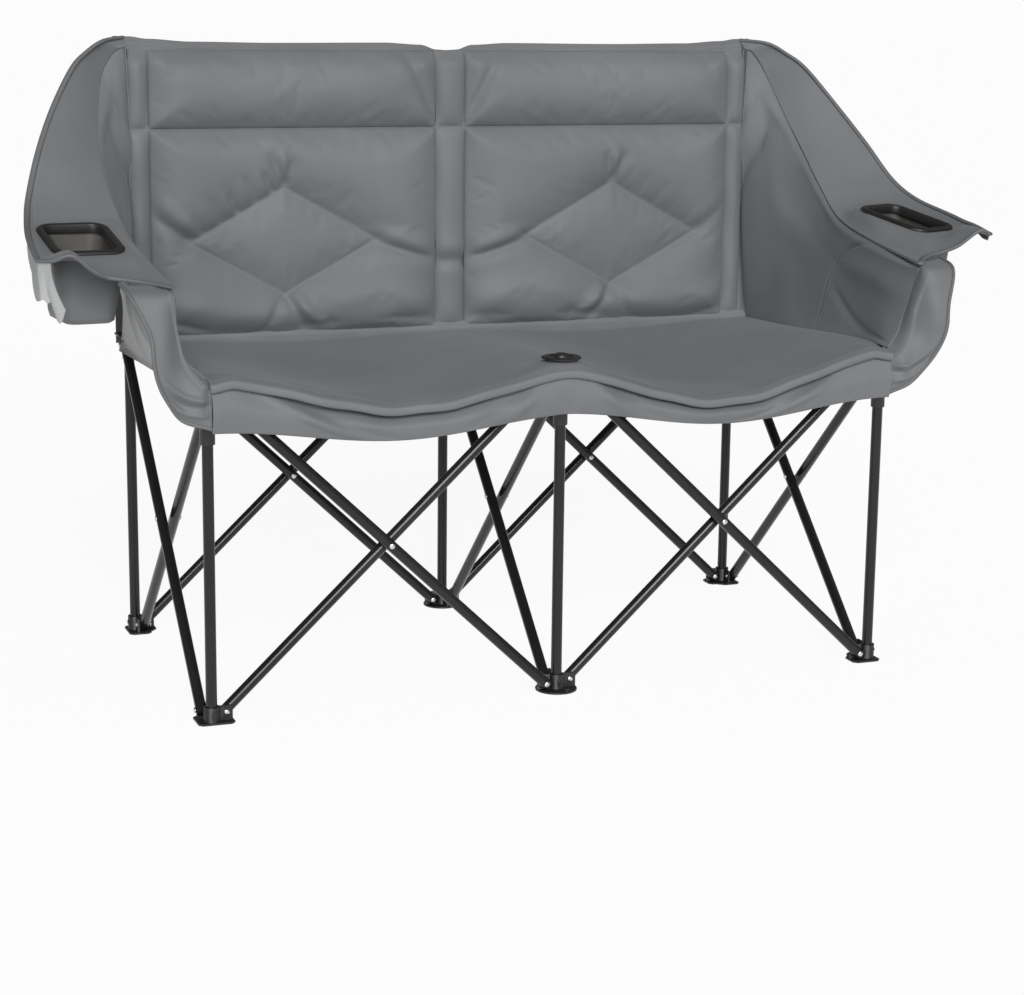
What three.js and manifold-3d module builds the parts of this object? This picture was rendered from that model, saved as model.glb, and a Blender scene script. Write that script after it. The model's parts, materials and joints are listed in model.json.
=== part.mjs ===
// Folding camping loveseat: a two-seat chair on six feet, joined by seven scissor pairs of round tube,
// with a padded seat, back and side walls, and a cup holder in each arm.
// Millimetres. +X runs to the sitter's left (the viewer's right), +Y to the back, +Z up.
// The origin is on the ground, in the middle of the footprint.
import * as THREE from 'three';
import { mergeVertices } from 'three/addons/utils/BufferGeometryUtils.js';
import Module from 'manifold-3d';

const wasm = await Module();
wasm.setup();

// Driving dimensions of the frame
const postSpacing = 520; // between neighbouring posts, in both directions
const tubeRadius = 8;
const tubeWall = 1.2;
const tubeSides = 12;
const boreSides = 8;
const hubSides = 12;
const headSides = 8;
const holeSides = 6;
const discSides = 24;
const pinOffset = 21.5; // from a post's axis to the pins beside it
const lowerPinHeight = 14;
const upperPinHeight = 465;
const webThickness = 3;
const webClearance = 0.5; // between a web and the tube beside it
const seatGap = 0.3; // between pieces that rest on each other
const cutOverrun = 2;

// Rivets
const pinRadius = 2;
const pinClearance = 0.35;
const rivetHeadRadius = 4;
const rivetHeadHeight = 1.5;

// Foot mouldings
const footHeight = 24;
const footPlate = 2.6;
const hubRadius = 11.5; // of the socket round a post
const webReach = 30; // from the post's axis to the end of a web
const plateReach = 32;
const plateMargin = 3; // of the plate round a tube's side
const discRadius = 31; // of a middle foot's round base
const collarDiscRadius = 26; // of a middle collar's top plate
const plateChamfer = 6;
const screwRadius = 3;
const screwHeight = 1;

// Collar mouldings
const collarWebHeight = 26;
const collarPlate = 2.6;
const skirtRadius = 10.75; // of the sleeve over a front post's open end
const frontSkirtDrop = 67; // from the upper pins down to the end of the sleeve
const backSkirtDrop = 25;
const slidingClearance = 0.4;
const rodRadius = 6;
const rodWall = 1;
const rodLength = 300;
const rodSeatDepth = 4; // of solid collar over the sliding rod
const postDrop = 8; // from a collar's webs down to the open end of the front post
const bossRadius = 9;
const bossRise = 12; // of the front middle collar's boss over its plate
const earReach = 24; // from a corner post to the arm rod's socket
const earRadius = 9;
const earLength = 24;
const earFloor = 4;

// Arm rods, which lean out from the front corner collars
const armRodRadius = 6;
const armRodRun = 47; // how far the rod leans out
const armRodForward = 6; // and towards the front
const armRodRiseShare = 0.3; // of the height from the seat to the back's top
const armCapRadius = 9;
const armCapHeight = 12;

// Heights of the soft parts
const backTop = 936;
const seatRise = 3; // of the seat's back edge over the upper pins
const uprightStop = 22; // from an upright's top to the top of the back
const middleUprightStop = 50; // the same in the middle, where the back's top dips

// Seat
const seatFrontThickness = 28;
const seatThickness = 16;
const seatBackThickness = 9;
const seatRoll = 8; // of the top face down to its front edge
const leftSag = 46; // of the seat between two posts
const rightSag = 56;
const grommetRadius = 27;
const grommetHeight = 3.5;
const grommetLift = 7; // of the eyelet over the collar below it

// Back
const coverThickness = 4;
const coverDepth = 24; // from the uprights' row back to the cover, and forward to its sleeves
const ridgeWidth = 6;
const ridgeDrop = 30; // from the back's top down to the flat sheets
const padThickness = 8; // at a pad's sewn edges
const padCrown = 28;
const tuftDepth = 17;
const tuftWidth = 26;
const headrestHeight = 112;

// Side walls, wings, bands and skirt
const clothThickness = 4;
const wallEdge = 5;
const wallCrown = 18;
const wingThickness = 6;
const wingDrop = 5.5; // of a side wall's top edge below the wing
const skirtDepth = 3; // from the seat's front edge back to the skirt
const leftFlapDrop = 66;
const rightFlapDrop = 20; // curled up under the arm
const flapGap = 1.8;

// Cup holders
const ringWidth = 104;
const ringLength = 132; // from front to back
const ringCorner = 26;
const ringRim = 11;
const ringHeight = 6;
const ringCollar = 8;
const ringWall = 3;
const ringTilt = 13; // degrees, front edge down
const leftRingTurn = 4; // degrees, as the soft arms hang
const rightRingTurn = 25;
const pocketWall = 2.5;
const pocketDepth = 112;
const pocketTaper = 18;

// Colours
const blackSteel = { color: 0x17181a, roughness: 0.32, metalness: 0.55 };
const blackPlastic = { color: 0x121314, roughness: 0.55, metalness: 0 };
const greyFabric = { color: 0x63666a, roughness: 0.8, metalness: 0 };
const coverFabric = { color: 0x55585c, roughness: 0.85, metalness: 0 };
const pocketFabric = { color: 0x4a4a49, roughness: 0.9, metalness: 0 };

const rise = upperPinHeight - lowerPinHeight;
const run = postSpacing - 2 * pinOffset;
const tubeAngle = Math.atan2(rise, run);
const pinDistance = Math.hypot(rise, run);
const planeOffset = webThickness / 2 + webClearance + tubeRadius; // of a tube from its scissor's plane
const tubeEnd = tubeRadius - webClearance; // of a tube beyond its end pins

const chair = new THREE.Group();

function add(parent, name, geometry, finish, position = [0, 0, 0], turn = 0) {
  const mesh = new THREE.Mesh(geometry, new THREE.MeshStandardMaterial(finish));
  mesh.name = name;
  mesh.position.set(...position);
  mesh.rotation.z = turn;
  parent.add(mesh);
  return mesh;
}

// Solids for cutting and joining
function toSolid(geometry) {
  const plain = geometry.clone();
  plain.deleteAttribute('normal');
  plain.deleteAttribute('uv');
  const merged = mergeVertices(plain, 1e-4);
  return new wasm.Manifold(new wasm.Mesh({
    numProp: 3,
    vertProperties: new Float32Array(merged.attributes.position.array),
    triVerts: new Uint32Array(merged.index.array),
  }));
}

function toGeometry(solid) {
  const mesh = solid.getMesh();
  const geometry = new THREE.BufferGeometry();
  geometry.setAttribute('position', new THREE.BufferAttribute(mesh.vertProperties, 3));
  geometry.setIndex(new THREE.BufferAttribute(mesh.triVerts, 1));
  geometry.computeVertexNormals();
  return geometry;
}

function join(first, ...others) {
  return others.reduce((sum, other) => sum.add(other), first);
}

function cut(first, ...others) {
  return others.reduce((rest, other) => rest.subtract(other), first);
}

// A round bar between two points, with its flats turned to face the pins
function bar(from, to, radius, sides) {
  const start = new THREE.Vector3(...from);
  const axis = new THREE.Vector3(...to).sub(start);
  const geometry = new THREE.CylinderGeometry(radius, radius, axis.length(), sides, 1);
  geometry.rotateY(Math.PI / sides);
  geometry.translate(0, axis.length() / 2, 0);
  const up = new THREE.Vector3(0, 1, 0);
  geometry.applyQuaternion(new THREE.Quaternion().setFromUnitVectors(up, axis.clone().normalize()));
  geometry.translate(start.x, start.y, start.z);
  return toSolid(geometry);
}

function block(x0, x1, y0, y1, z0, z1) {
  const geometry = new THREE.BoxGeometry(x1 - x0, y1 - y0, z1 - z0);
  geometry.translate((x0 + x1) / 2, (y0 + y1) / 2, (z0 + z1) / 2);
  return toSolid(geometry);
}

function plate(points, bottom, height) {
  const shape = new THREE.Shape(points.map(([x, y]) => new THREE.Vector2(x, y)));
  const geometry = new THREE.ExtrudeGeometry(shape, { depth: height, bevelEnabled: false });
  geometry.translate(0, 0, bottom);
  return toSolid(geometry);
}

function turned(solid, angle) {
  return solid.rotate([0, 0, THREE.MathUtils.radToDeg(angle)]);
}

// A tube along X, with its bore and its end holes
function tubeBlank() {
  const half = pinDistance / 2 + tubeEnd;
  const outer = bar([-half, 0, 0], [half, 0, 0], tubeRadius, tubeSides);
  const bore = bar([-half - cutOverrun, 0, 0], [half + cutOverrun, 0, 0], tubeRadius - tubeWall, boreSides);
  const hole = (x) => bar([x, -tubeRadius * 2, 0], [x, tubeRadius * 2, 0], pinRadius + pinClearance, holeSides);
  return { outer, bore, hole };
}

// The rear tube of a scissor pair has a hole at the crossing, and the front one carries the rivet and spacer
function crossedTube() {
  const { outer, bore, hole } = tubeBlank();
  return toGeometry(cut(outer, bore, hole(-pinDistance / 2), hole(0), hole(pinDistance / 2)));
}

function rivetedTube() {
  const { outer, bore, hole } = tubeBlank();
  const farSide = 2 * planeOffset + tubeRadius + seatGap;
  const nearSide = -tubeRadius - rivetHeadHeight;
  const rivet = bar([0, nearSide, 0], [0, farSide, 0], pinRadius, holeSides);
  const nearHead = bar([0, nearSide, 0], [0, -tubeRadius + tubeWall, 0], rivetHeadRadius, headSides);
  const farHead = bar([0, farSide, 0], [0, farSide + rivetHeadHeight, 0], rivetHeadRadius, headSides);
  const spacerEnd = 2 * planeOffset - tubeRadius - seatGap;
  const spacer = bar([0, tubeRadius - tubeWall, 0], [0, spacerEnd, 0], rivetHeadRadius, headSides);
  const tube = cut(outer, bore, hole(-pinDistance / 2), hole(pinDistance / 2));
  return toGeometry(join(tube, rivet, nearHead, farHead, spacer));
}

const crossedTubeGeometry = crossedTube();
const rivetedTubeGeometry = rivetedTube();

// One scissor pair, in the plane that goes through its two posts
function scissorPair(name, x, y, turn) {
  const pair = new THREE.Group();
  pair.position.set(x, y, (lowerPinHeight + upperPinHeight) / 2);
  pair.rotation.z = turn;
  const falling = add(pair, `${name}_tube_falling`, rivetedTubeGeometry, blackSteel, [0, -planeOffset, 0]);
  falling.rotation.y = tubeAngle;
  const rising = add(pair, `${name}_tube_rising`, crossedTubeGeometry, blackSteel, [0, planeOffset, 0]);
  rising.rotation.y = -tubeAngle;
  chair.add(pair);
}

const half = postSpacing / 2;
const quarterTurn = Math.PI / 2;
scissorPair('front_left', -half, -half, 0);
scissorPair('front_right', half, -half, 0);
scissorPair('back_left', -half, half, 0);
scissorPair('back_right', half, half, 0);
scissorPair('side_left', -postSpacing, 0, quarterTurn);
scissorPair('middle', 0, 0, quarterTurn);
scissorPair('side_right', postSpacing, 0, quarterTurn);

// A web beside a post, with the rivet that a tube turns on. tubeSide is 1 for a foot, and -1 for a collar,
// whose tubes lie on the web's other face.
function webWithPin(bottom, top, pinHeight, tubeSide) {
  const web = block(0, webReach, -webThickness / 2, webThickness / 2, bottom, top);
  const outside = planeOffset + tubeRadius + seatGap;
  const across = (reach) => [pinOffset, tubeSide * reach, pinHeight];
  const shank = bar(across(0), across(outside), pinRadius, holeSides);
  const head = bar(across(outside), across(outside + rivetHeadHeight), rivetHeadRadius, headSides);
  const tail = bar(across(0), across(-webThickness / 2 - rivetHeadHeight), rivetHeadRadius, headSides);
  return join(web, shank, head, tail);
}

// The plate of a corner moulding is an L round its two webs, and reaches past the tubes on their one side
function cornerPlate(bottom, height, tubeSide) {
  const wide = planeOffset + tubeRadius + plateMargin;
  const slim = hubRadius + plateMargin;
  const [inside, outside] = tubeSide > 0 ? [wide, slim] : [slim, wide];
  const [left, right] = tubeSide > 0 ? [wide, slim] : [slim, wide];
  const chamfer = plateChamfer;
  return plate([
    [-left, -outside + chamfer], [-left + chamfer, -outside],
    [plateReach - chamfer, -outside], [plateReach, -outside + chamfer],
    [plateReach, inside - chamfer], [plateReach - chamfer, inside],
    [right + chamfer, inside], [right, inside + chamfer],
    [right, plateReach - chamfer], [right - chamfer, plateReach],
    [-left + chamfer, plateReach], [-left, plateReach - chamfer],
  ], bottom, height);
}

function footGeometry(webAngles, base) {
  const webs = webAngles.map((angle) => turned(webWithPin(0, footHeight, lowerPinHeight, 1), angle));
  const hub = bar([0, 0, 0], [0, 0, footHeight], hubRadius, hubSides);
  const socket = bar([0, 0, footPlate], [0, 0, footHeight + cutOverrun], tubeRadius + seatGap, tubeSides);
  const screwStart = tubeRadius + tubeWall;
  const screwEnd = hubRadius + screwHeight;
  const screw = bar([0, -screwStart, lowerPinHeight], [0, -screwEnd, lowerPinHeight], screwRadius, headSides);
  return toGeometry(cut(join(base, hub, ...webs, screw), socket));
}

const cornerWebs = [0, quarterTurn];
const middleWebs = [0, quarterTurn, 2 * quarterTurn];
const cornerFoot = footGeometry(cornerWebs, cornerPlate(0, footPlate, 1));
const middleFoot = footGeometry(middleWebs, bar([0, 0, 0], [0, 0, footPlate], discRadius, discSides));

const corners = [
  { name: 'front_left', x: -postSpacing, y: -half, turn: 0 },
  { name: 'front_right', x: postSpacing, y: -half, turn: quarterTurn },
  { name: 'back_right', x: postSpacing, y: half, turn: 2 * quarterTurn },
  { name: 'back_left', x: -postSpacing, y: half, turn: 3 * quarterTurn },
];
const middles = [
  { name: 'front_middle', x: 0, y: -half, turn: 0 },
  { name: 'back_middle', x: 0, y: half, turn: 2 * quarterTurn },
];
const places = [...corners, ...middles];
const fronts = places.filter(({ y }) => y < 0);
const backs = places.filter(({ y }) => y > 0);
for (const { name, x, y, turn } of places) {
  add(chair, `${name}_foot`, x === 0 ? middleFoot : cornerFoot, blackPlastic, [x, y, 0], turn);
}

// Posts: short ones in front, which the collars' rods slide out of, and full uprights behind
const seatLevel = upperPinHeight + seatRise;
const frontSkirtBottom = upperPinHeight - frontSkirtDrop;
const backSkirtBottom = upperPinHeight - backSkirtDrop;
const postBottom = footPlate + seatGap;
const webBottom = upperPinHeight - collarWebHeight / 2;
const webTop = upperPinHeight + collarWebHeight / 2;
const plateTop = webTop + collarPlate;
const frontPostTop = webBottom - postDrop;

function hollow(bottom, top, radius, wall) {
  const bore = bar([0, 0, bottom - cutOverrun], [0, 0, top + cutOverrun], radius - wall, boreSides);
  return cut(bar([0, 0, bottom], [0, 0, top], radius, tubeSides), bore);
}

const frontPost = toGeometry(hollow(postBottom, frontPostTop, tubeRadius, tubeWall));
const upright = toGeometry(hollow(postBottom, backTop - uprightStop, tubeRadius, tubeWall));
const shortUpright = toGeometry(hollow(postBottom, backTop - middleUprightStop, tubeRadius, tubeWall));
for (const { name, x, y } of fronts) add(chair, `${name}_post`, frontPost, blackSteel, [x, y, 0]);
for (const { name, x, y } of backs) {
  add(chair, `${name}_upright`, x === 0 ? shortUpright : upright, blackSteel, [x, y, 0]);
}

// Rods that slide in the front posts and are held in the front collars
const rodTop = plateTop - rodSeatDepth;
const slidingRod = toGeometry(hollow(rodTop - rodLength, rodTop, rodRadius, rodWall));
for (const { name, x, y } of fronts) add(chair, `${name}_sliding_rod`, slidingRod, blackSteel, [x, y, 0]);

// Collars: a front one closes over the end of its post and holds the sliding rod, a back one slides on its
// upright
function collarGeometry(webAngles, top, skirtBottom, extras, holes) {
  const webs = webAngles.map((angle) => turned(webWithPin(webBottom, webTop, upperPinHeight, -1), angle));
  const hub = bar([0, 0, webBottom], [0, 0, plateTop], hubRadius, hubSides);
  const skirt = bar([0, 0, skirtBottom], [0, 0, webBottom + cutOverrun], skirtRadius, hubSides);
  return toGeometry(cut(join(top, hub, skirt, ...webs, ...extras), ...holes));
}

const slideBore = tubeRadius + slidingClearance;
const upperHole = plateTop + cutOverrun;
const backHole = bar([0, 0, backSkirtBottom - cutOverrun], [0, 0, upperHole], slideBore, tubeSides);
const frontHoles = [
  bar([0, 0, frontSkirtBottom - cutOverrun], [0, 0, frontPostTop + seatGap], slideBore, tubeSides),
  bar([0, 0, frontSkirtBottom], [0, 0, rodTop + seatGap], rodRadius + seatGap, tubeSides),
];
const cornerTop = cornerPlate(webTop, collarPlate, -1);
const discTop = bar([0, 0, webTop], [0, 0, plateTop], collarDiscRadius, discSides);
const bossTop = plateTop + bossRise;
const boss = bar([0, 0, webTop], [0, 0, bossTop], bossRadius, hubSides);

// The front corner collars have an ear that holds the arm rod and points away from the middle
const armRodRise = armRodRiseShare * (backTop - seatLevel);
const armRodLean = new THREE.Vector3(armRodRun, -armRodForward, armRodRise);
const earBottom = webBottom;
function alongArmRod(distance, side) {
  const along = armRodLean.clone().setLength(distance);
  return [side * (earReach + along.x), along.y, earBottom + along.z];
}

function earedCollar(side, turn) {
  const ear = bar(alongArmRod(0, side), alongArmRod(earLength, side), earRadius, hubSides);
  const arm = block(Math.min(0, side * earReach), Math.max(0, side * earReach),
    -webThickness, webThickness, earBottom + webThickness, earBottom + earLength / 2);
  const socketEnd = alongArmRod(earLength * 2, side);
  const socket = bar(alongArmRod(earFloor, side), socketEnd, armRodRadius + seatGap, tubeSides);
  const place = (solid) => turned(solid, -turn);
  return collarGeometry(cornerWebs, cornerTop, frontSkirtBottom, [place(join(ear, arm))],
    [...frontHoles, place(socket)]);
}

const backCorner = collarGeometry(cornerWebs, cornerTop, backSkirtBottom, [], [backHole]);
const collars = {
  front_left: earedCollar(-1, corners[0].turn),
  front_right: earedCollar(1, corners[1].turn),
  back_left: backCorner,
  back_right: backCorner,
  front_middle: collarGeometry(middleWebs, discTop, frontSkirtBottom, [boss], frontHoles),
  back_middle: collarGeometry(middleWebs, discTop, backSkirtBottom, [], [backHole]),
};
for (const { name, x, y, turn } of places) {
  add(chair, `${name}_collar`, collars[name], blackPlastic, [x, y, 0], turn);
}

// Arm rods, with the plastic cap that the arm's front corner sits on
const armRodLength = armRodLean.length();
for (const side of [-1, 1]) {
  const rodFoot = alongArmRod(earFloor + seatGap, side);
  const rod = bar(rodFoot, alongArmRod(armRodLength, side), armRodRadius, tubeSides);
  const cap = bar(alongArmRod(armRodLength - armCapHeight, side), alongArmRod(armRodLength, side),
    armCapRadius, hubSides);
  const name = side < 0 ? 'left' : 'right';
  add(chair, `${name}_arm_rod`, toGeometry(join(rod, cap)), blackSteel, [side * postSpacing, -half, 0]);
}

// Soft parts. A place on them is given in shares: out from the middle and back in post spacings, and up
// from the seat's level to the top of the back.
const level = (upShare) => seatLevel + upShare * (backTop - seatLevel);
const sides = [{ name: 'left', side: -1 }, { name: 'right', side: 1 }];

function spot([out, back, up]) {
  return new THREE.Vector3(out * postSpacing, back * postSpacing, level(up));
}

function curve(shares) {
  const line = new THREE.CatmullRomCurve3(shares.map(spot));
  return (share) => line.getPoint(share);
}

const mix = THREE.MathUtils.lerp;
const ease = THREE.MathUtils.smoothstep;

// A closed pad between two faces, each a function of two shares
function pad(front, rear, across, along) {
  const corners = [];
  const faces = [];
  const row = along + 1;
  const sheet = (across + 1) * row;
  for (const face of [front, rear]) {
    for (let i = 0; i <= across; i += 1) {
      for (let j = 0; j <= along; j += 1) corners.push(...face(i / across, j / along));
    }
  }
  const quad = (a, b, c, d) => faces.push(a, b, c, a, c, d);
  for (let i = 0; i < across; i += 1) {
    for (let j = 0; j < along; j += 1) {
      const a = i * row + j;
      quad(a, a + row, a + row + 1, a + 1);
      quad(sheet + a, sheet + a + 1, sheet + a + row + 1, sheet + a + row);
    }
  }
  for (let i = 0; i < across; i += 1) {
    const [a, b] = [i * row, i * row + along];
    quad(a, sheet + a, sheet + a + row, a + row);
    quad(b, b + row, sheet + b + row, sheet + b);
  }
  for (let j = 0; j < along; j += 1) {
    const [a, b] = [j, across * row + j];
    quad(a, a + 1, sheet + a + 1, sheet + a);
    quad(b, sheet + b, sheet + b + 1, b + 1);
  }
  return outward(corners, faces);
}

// The same faces, turned if need be so that they point out
function outward(corners, faces) {
  const at = (k) => new THREE.Vector3(...corners.slice(3 * k, 3 * k + 3));
  let volume = 0;
  for (let f = 0; f < faces.length; f += 3) {
    volume += at(faces[f]).dot(at(faces[f + 1]).cross(at(faces[f + 2])));
  }
  const wound = volume < 0 ? faces.slice().reverse() : faces;
  const geometry = new THREE.BufferGeometry();
  geometry.setAttribute('position', new THREE.Float32BufferAttribute(corners, 3));
  geometry.setIndex(wound);
  geometry.computeVertexNormals();
  return geometry;
}

const mirrored = ({ x, y, z }, side) => [side * x, y, z];

// Seat: a front and a rear pad, which meet across the middle
const seatFrontShare = -0.565;
const seatBackShare = 0.425;
const seatFront = seatFrontShare * postSpacing;
const seatBack = seatBackShare * postSpacing;
const seatCentreShares = [[0, 0, 0.047], [0, 0, 0.034], [0, 0, 0.018], [0, 0, 0.003]];
const seatSideShares = [[0, 0, 0.061], [0, 0, 0.045], [0, 0, 0.024], [0, 0, 0.009]];
const seatCentre = curve(seatCentreShares);
const seatSide = curve(seatSideShares);
const seatColumns = 20;
const seatRows = 6;
const skirtRows = 2;
const seatWideShare = 1.02;
const seatNarrowShare = 0.022;

function seatHalfWidth(y) {
  return (seatWideShare - seatNarrowShare * ease(-y / postSpacing, 0.4, 0.56)) * postSpacing;
}

const seatDepthAt = (y) => (y - seatFront) / (seatBack - seatFront);

function seatPlane(across, y) {
  const depth = seatDepthAt(y);
  const out = Math.abs(across);
  const sag = (across < 0 ? leftSag : rightSag) * Math.sin(Math.PI * out) ** 2;
  const fall = mix(1, 0.2, ease(depth, 0.35, 1)) + 0.15 * Math.sin(Math.PI * depth);
  return mix(seatCentre(depth).z, seatSide(depth).z, out) - sag * fall;
}

function seatTop(across, y) {
  return seatPlane(across, y) - seatRoll * (1 - ease(seatDepthAt(y), 0, 0.018));
}

function seatBottom(across, y) {
  const depth = seatDepthAt(y);
  const front = mix(seatFrontThickness, seatThickness, ease(depth, 0.02, 0.1));
  return seatPlane(across, y) - mix(front, seatBackThickness, ease(depth, 0.5, 1));
}

function seatPad(from, to, crowding) {
  const at = (height) => (u, v) => {
    const across = 2 * u - 1;
    const y = mix(from, to, v ** crowding);
    return [across * seatHalfWidth(y), y, height(across, y)];
  };
  return toSolid(pad(at(seatTop), at(seatBottom), seatColumns, seatRows));
}

const grommetBed = plateTop + grommetLift;
const underCollar = lowerPinHeight;
function overHub(bottom, top, radius, segments) {
  return bar([0, -half, bottom], [0, -half, top], radius + seatGap, segments);
}

const hubSpace = overHub(underCollar, plateTop + seatGap, collarDiscRadius, discSides);
const bossSpace = overHub(underCollar, backTop, bossRadius, hubSides);
const grommetSpace = overHub(grommetBed, backTop, grommetRadius, discSides);
const tubeRoom = 20; // beside a middle collar, for the tubes' ends
const tubeRun = 48;
const tubeSpaces = [
  block(-tubeRun, tubeRun, -half - tubeRoom, -half + tubeRoom, underCollar, webTop + seatGap),
  block(-tubeRoom, tubeRoom, -half, -half + tubeRun, underCollar, webTop + seatGap),
];
const cornerSpaces = sides.map(({ side }) => {
  const inner = postSpacing - plateReach - seatGap;
  return block(Math.min(side * inner, side * 2 * postSpacing), Math.max(side * inner, side * 2 * postSpacing),
    -2 * half, -half + plateReach + seatGap, underCollar, plateTop + seatGap);
});
const seatFrontPad = cut(seatPad(seatFront, -seatGap / 2, 2), hubSpace, bossSpace, grommetSpace,
  ...tubeSpaces, ...cornerSpaces);
add(chair, 'seat_front_pad', toGeometry(seatFrontPad), greyFabric);
add(chair, 'seat_rear_pad', toGeometry(seatPad(seatGap / 2, seatBack, 1)), greyFabric);

const grommetTop = grommetBed + grommetHeight;
const grommetDisc = bar([0, 0, grommetBed + seatGap], [0, 0, grommetTop], grommetRadius, discSides);
const grommetBore = bar([0, 0, grommetBed - cutOverrun], [0, 0, backTop], bossRadius + seatGap, hubSides);
const grommet = cut(grommetDisc, grommetBore);
add(chair, 'seat_grommet', toGeometry(grommet), blackPlastic, [0, -half, 0]);

// Back cover: a rear sheet and three sleeves in front of the uprights, all hung from one ridge
const sleeveFace = half - coverDepth;
const coverBack = half + coverDepth;
const flatTop = backTop - ridgeDrop;
const coverBottom = plateTop + clothThickness;
const sleeveShares = [[-0.998, -0.94], [-0.045, 0.045], [0.94, 0.998]];

// How far the top lies below the back's highest point: shares of the half width out, and of the back's height
const topDipShares = [
  [0, 0.049], [0.035, 0.046], [0.085, 0.028], [0.2, 0.02], [0.55, 0.022], [0.8, 0.019], [0.93, 0.011],
  [0.985, 0.002], [1.03, 0],
];
const ridgeFront = half - ridgeWidth / 2;
const ridgeBack = half + ridgeWidth / 2;
const t = coverThickness;

// The cover's section, an upturned V over the rear sheet, with its peak at the given height
function coverSection(peak) {
  return [
    [coverBack, coverBottom], [coverBack, flatTop], [ridgeBack, peak], [ridgeFront, peak],
    [sleeveFace, flatTop], [sleeveFace, flatTop - t], [sleeveFace + t, flatTop - t],
    [sleeveFace + t, flatTop - t / 2], [ridgeFront + t / 2, peak - t], [ridgeBack - t / 2, peak - t],
    [coverBack - t, flatTop - t / 2], [coverBack - t, coverBottom],
  ];
}

// A closed skin over such sections along X
function overSections(stations) {
  const corners = stations.flatMap(({ x, section }) => section.flatMap(([y, z]) => [x, y, z]));
  const count = stations[0].section.length;
  const last = (stations.length - 1) * count;
  const faces = [];
  for (let at = 0; at < last; at += count) {
    for (let k = 0; k < count; k += 1) {
      const [a, b] = [at + k, at + ((k + 1) % count)];
      faces.push(a, b, b + count, a, b + count, a + count);
    }
  }
  const outline = stations[0].section.map(([y, z]) => new THREE.Vector2(y, z));
  for (const [a, b, c] of THREE.ShapeUtils.triangulateShape(outline, [])) {
    const [p, q, r] = THREE.ShapeUtils.isClockWise([outline[a], outline[b], outline[c]]) ? [a, b, c] : [a, c, b];
    const flip = THREE.ShapeUtils.isClockWise(outline);
    faces.push(...(flip ? [p, r, q] : [p, q, r]));
    faces.push(...(flip ? [last + p, last + q, last + r] : [last + p, last + r, last + q]));
  }
  return outward(corners, faces);
}

const rightStations = topDipShares.map(([out, dip]) => (
  { x: out * postSpacing, section: coverSection(backTop - dip * (backTop - seatLevel)) }));
const leftStations = rightStations.slice(1).reverse().map(({ x, section }) => ({ x: -x, section }));
const ridge = toSolid(overSections([...leftStations, ...rightStations]));
const sleeves = sleeveShares.map(([from, to]) => block(from * postSpacing, to * postSpacing,
  sleeveFace, sleeveFace + t, coverBottom, flatTop - t / 2));
add(chair, 'back_cover', toGeometry(join(ridge, ...sleeves)), coverFabric);

// Back pads and headrests, sewn into the cover between its sleeves
const padInnerShare = 0.0455;
const padOuterShare = 0.9395;
const diamondShares = { x: 0.534, z: 0.328, halfWidth: 0.29, halfHeight: 0.18 };
const padBottom = seatLevel + clothThickness;
const headrestBottom = flatTop - t - headrestHeight;
const diamondRise = (backTop - seatLevel) * diamondShares.halfHeight;

function tuft(x, z) {
  const across = Math.abs(x - diamondShares.x * postSpacing) / (diamondShares.halfWidth * postSpacing);
  const up = Math.abs(z - level(diamondShares.z)) / diamondRise;
  const away = (Math.abs(across + up - 1) * diamondRise) / tuftWidth;
  return tuftDepth * Math.exp(-away * away);
}

function backPad(side, bottom, top, across, along, tufted) {
  const rear = sleeveFace;
  const at = (u, v) => [mix(padInnerShare, padOuterShare, u) * postSpacing, mix(bottom, top, v)];
  const front = (u, v) => {
    const [x, z] = at(u, v);
    const crown = padCrown * (Math.sin(Math.PI * u) * Math.sin(Math.PI * v)) ** 0.45;
    const fold = tufted ? Math.min(tuft(x, z), crown) : 0;
    return [side * x, rear - padThickness - crown + fold, z];
  };
  const back = (u, v) => {
    const [x, z] = at(u, v);
    return [side * x, rear, z];
  };
  return pad(front, back, across, along);
}

for (const { name, side } of sides) {
  add(chair, `${name}_back_pad`, backPad(side, padBottom, headrestBottom - seatGap, 16, 12, true), greyFabric);
  add(chair, `${name}_headrest`, backPad(side, headrestBottom, flatTop - t - seatGap, 12, 6, false), greyFabric);
}

// Wings: from the back's top corners down to the arms, with an opening for the cup ring
const wingSeamShares = [
  [1.0, 0.46, 0.972], [1.03, 0.455, 0.955], [1.06, 0.45, 0.911], [1.08, 0.43, 0.855], [1.108, 0.348, 0.722],
  [1.12, 0.26, 0.622], [1.115, 0.12, 0.505], [1.102, -0.033, 0.413], [1.094, -0.25, 0.364], [1.092, -0.551, 0.32],
];
const wingSeam = curve(wingSeamShares);
const wingEdgeShares = [
  [1.03, 0.475, 0.994], [1.071, 0.42, 0.983], [1.125, 0.38, 0.944], [1.175, 0.365, 0.9], [1.247, 0.286, 0.777],
  [1.306, 0.192, 0.651], [1.352, 0.089, 0.527], [1.378, -0.03, 0.467], [1.404, -0.22, 0.43], [1.412, -0.4, 0.389],
];
const wingEdge = curve(wingEdgeShares);
const armFrontShares = [
  [1.092, -0.551, 0.32], [1.156, -0.465, 0.328], [1.231, -0.43, 0.338], [1.276, -0.448, 0.359],
  [1.335, -0.465, 0.409], [1.38, -0.445, 0.394], [1.412, -0.4, 0.389],
];
const armFront = curve(armFrontShares);

function wingTop(u, v) {
  const straight = wingSeam(u).lerp(wingEdge(u), v);
  const end = wingSeam(1).lerp(wingEdge(1), v);
  return straight.add(armFront(v).sub(end).multiplyScalar(ease(u, 0.86, 1)));
}

// Cup rings and pockets hang in the arms
const ringCentreShares = [1.26, -0.17, 0.418];
const ringCentre = spot(ringCentreShares);

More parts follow.
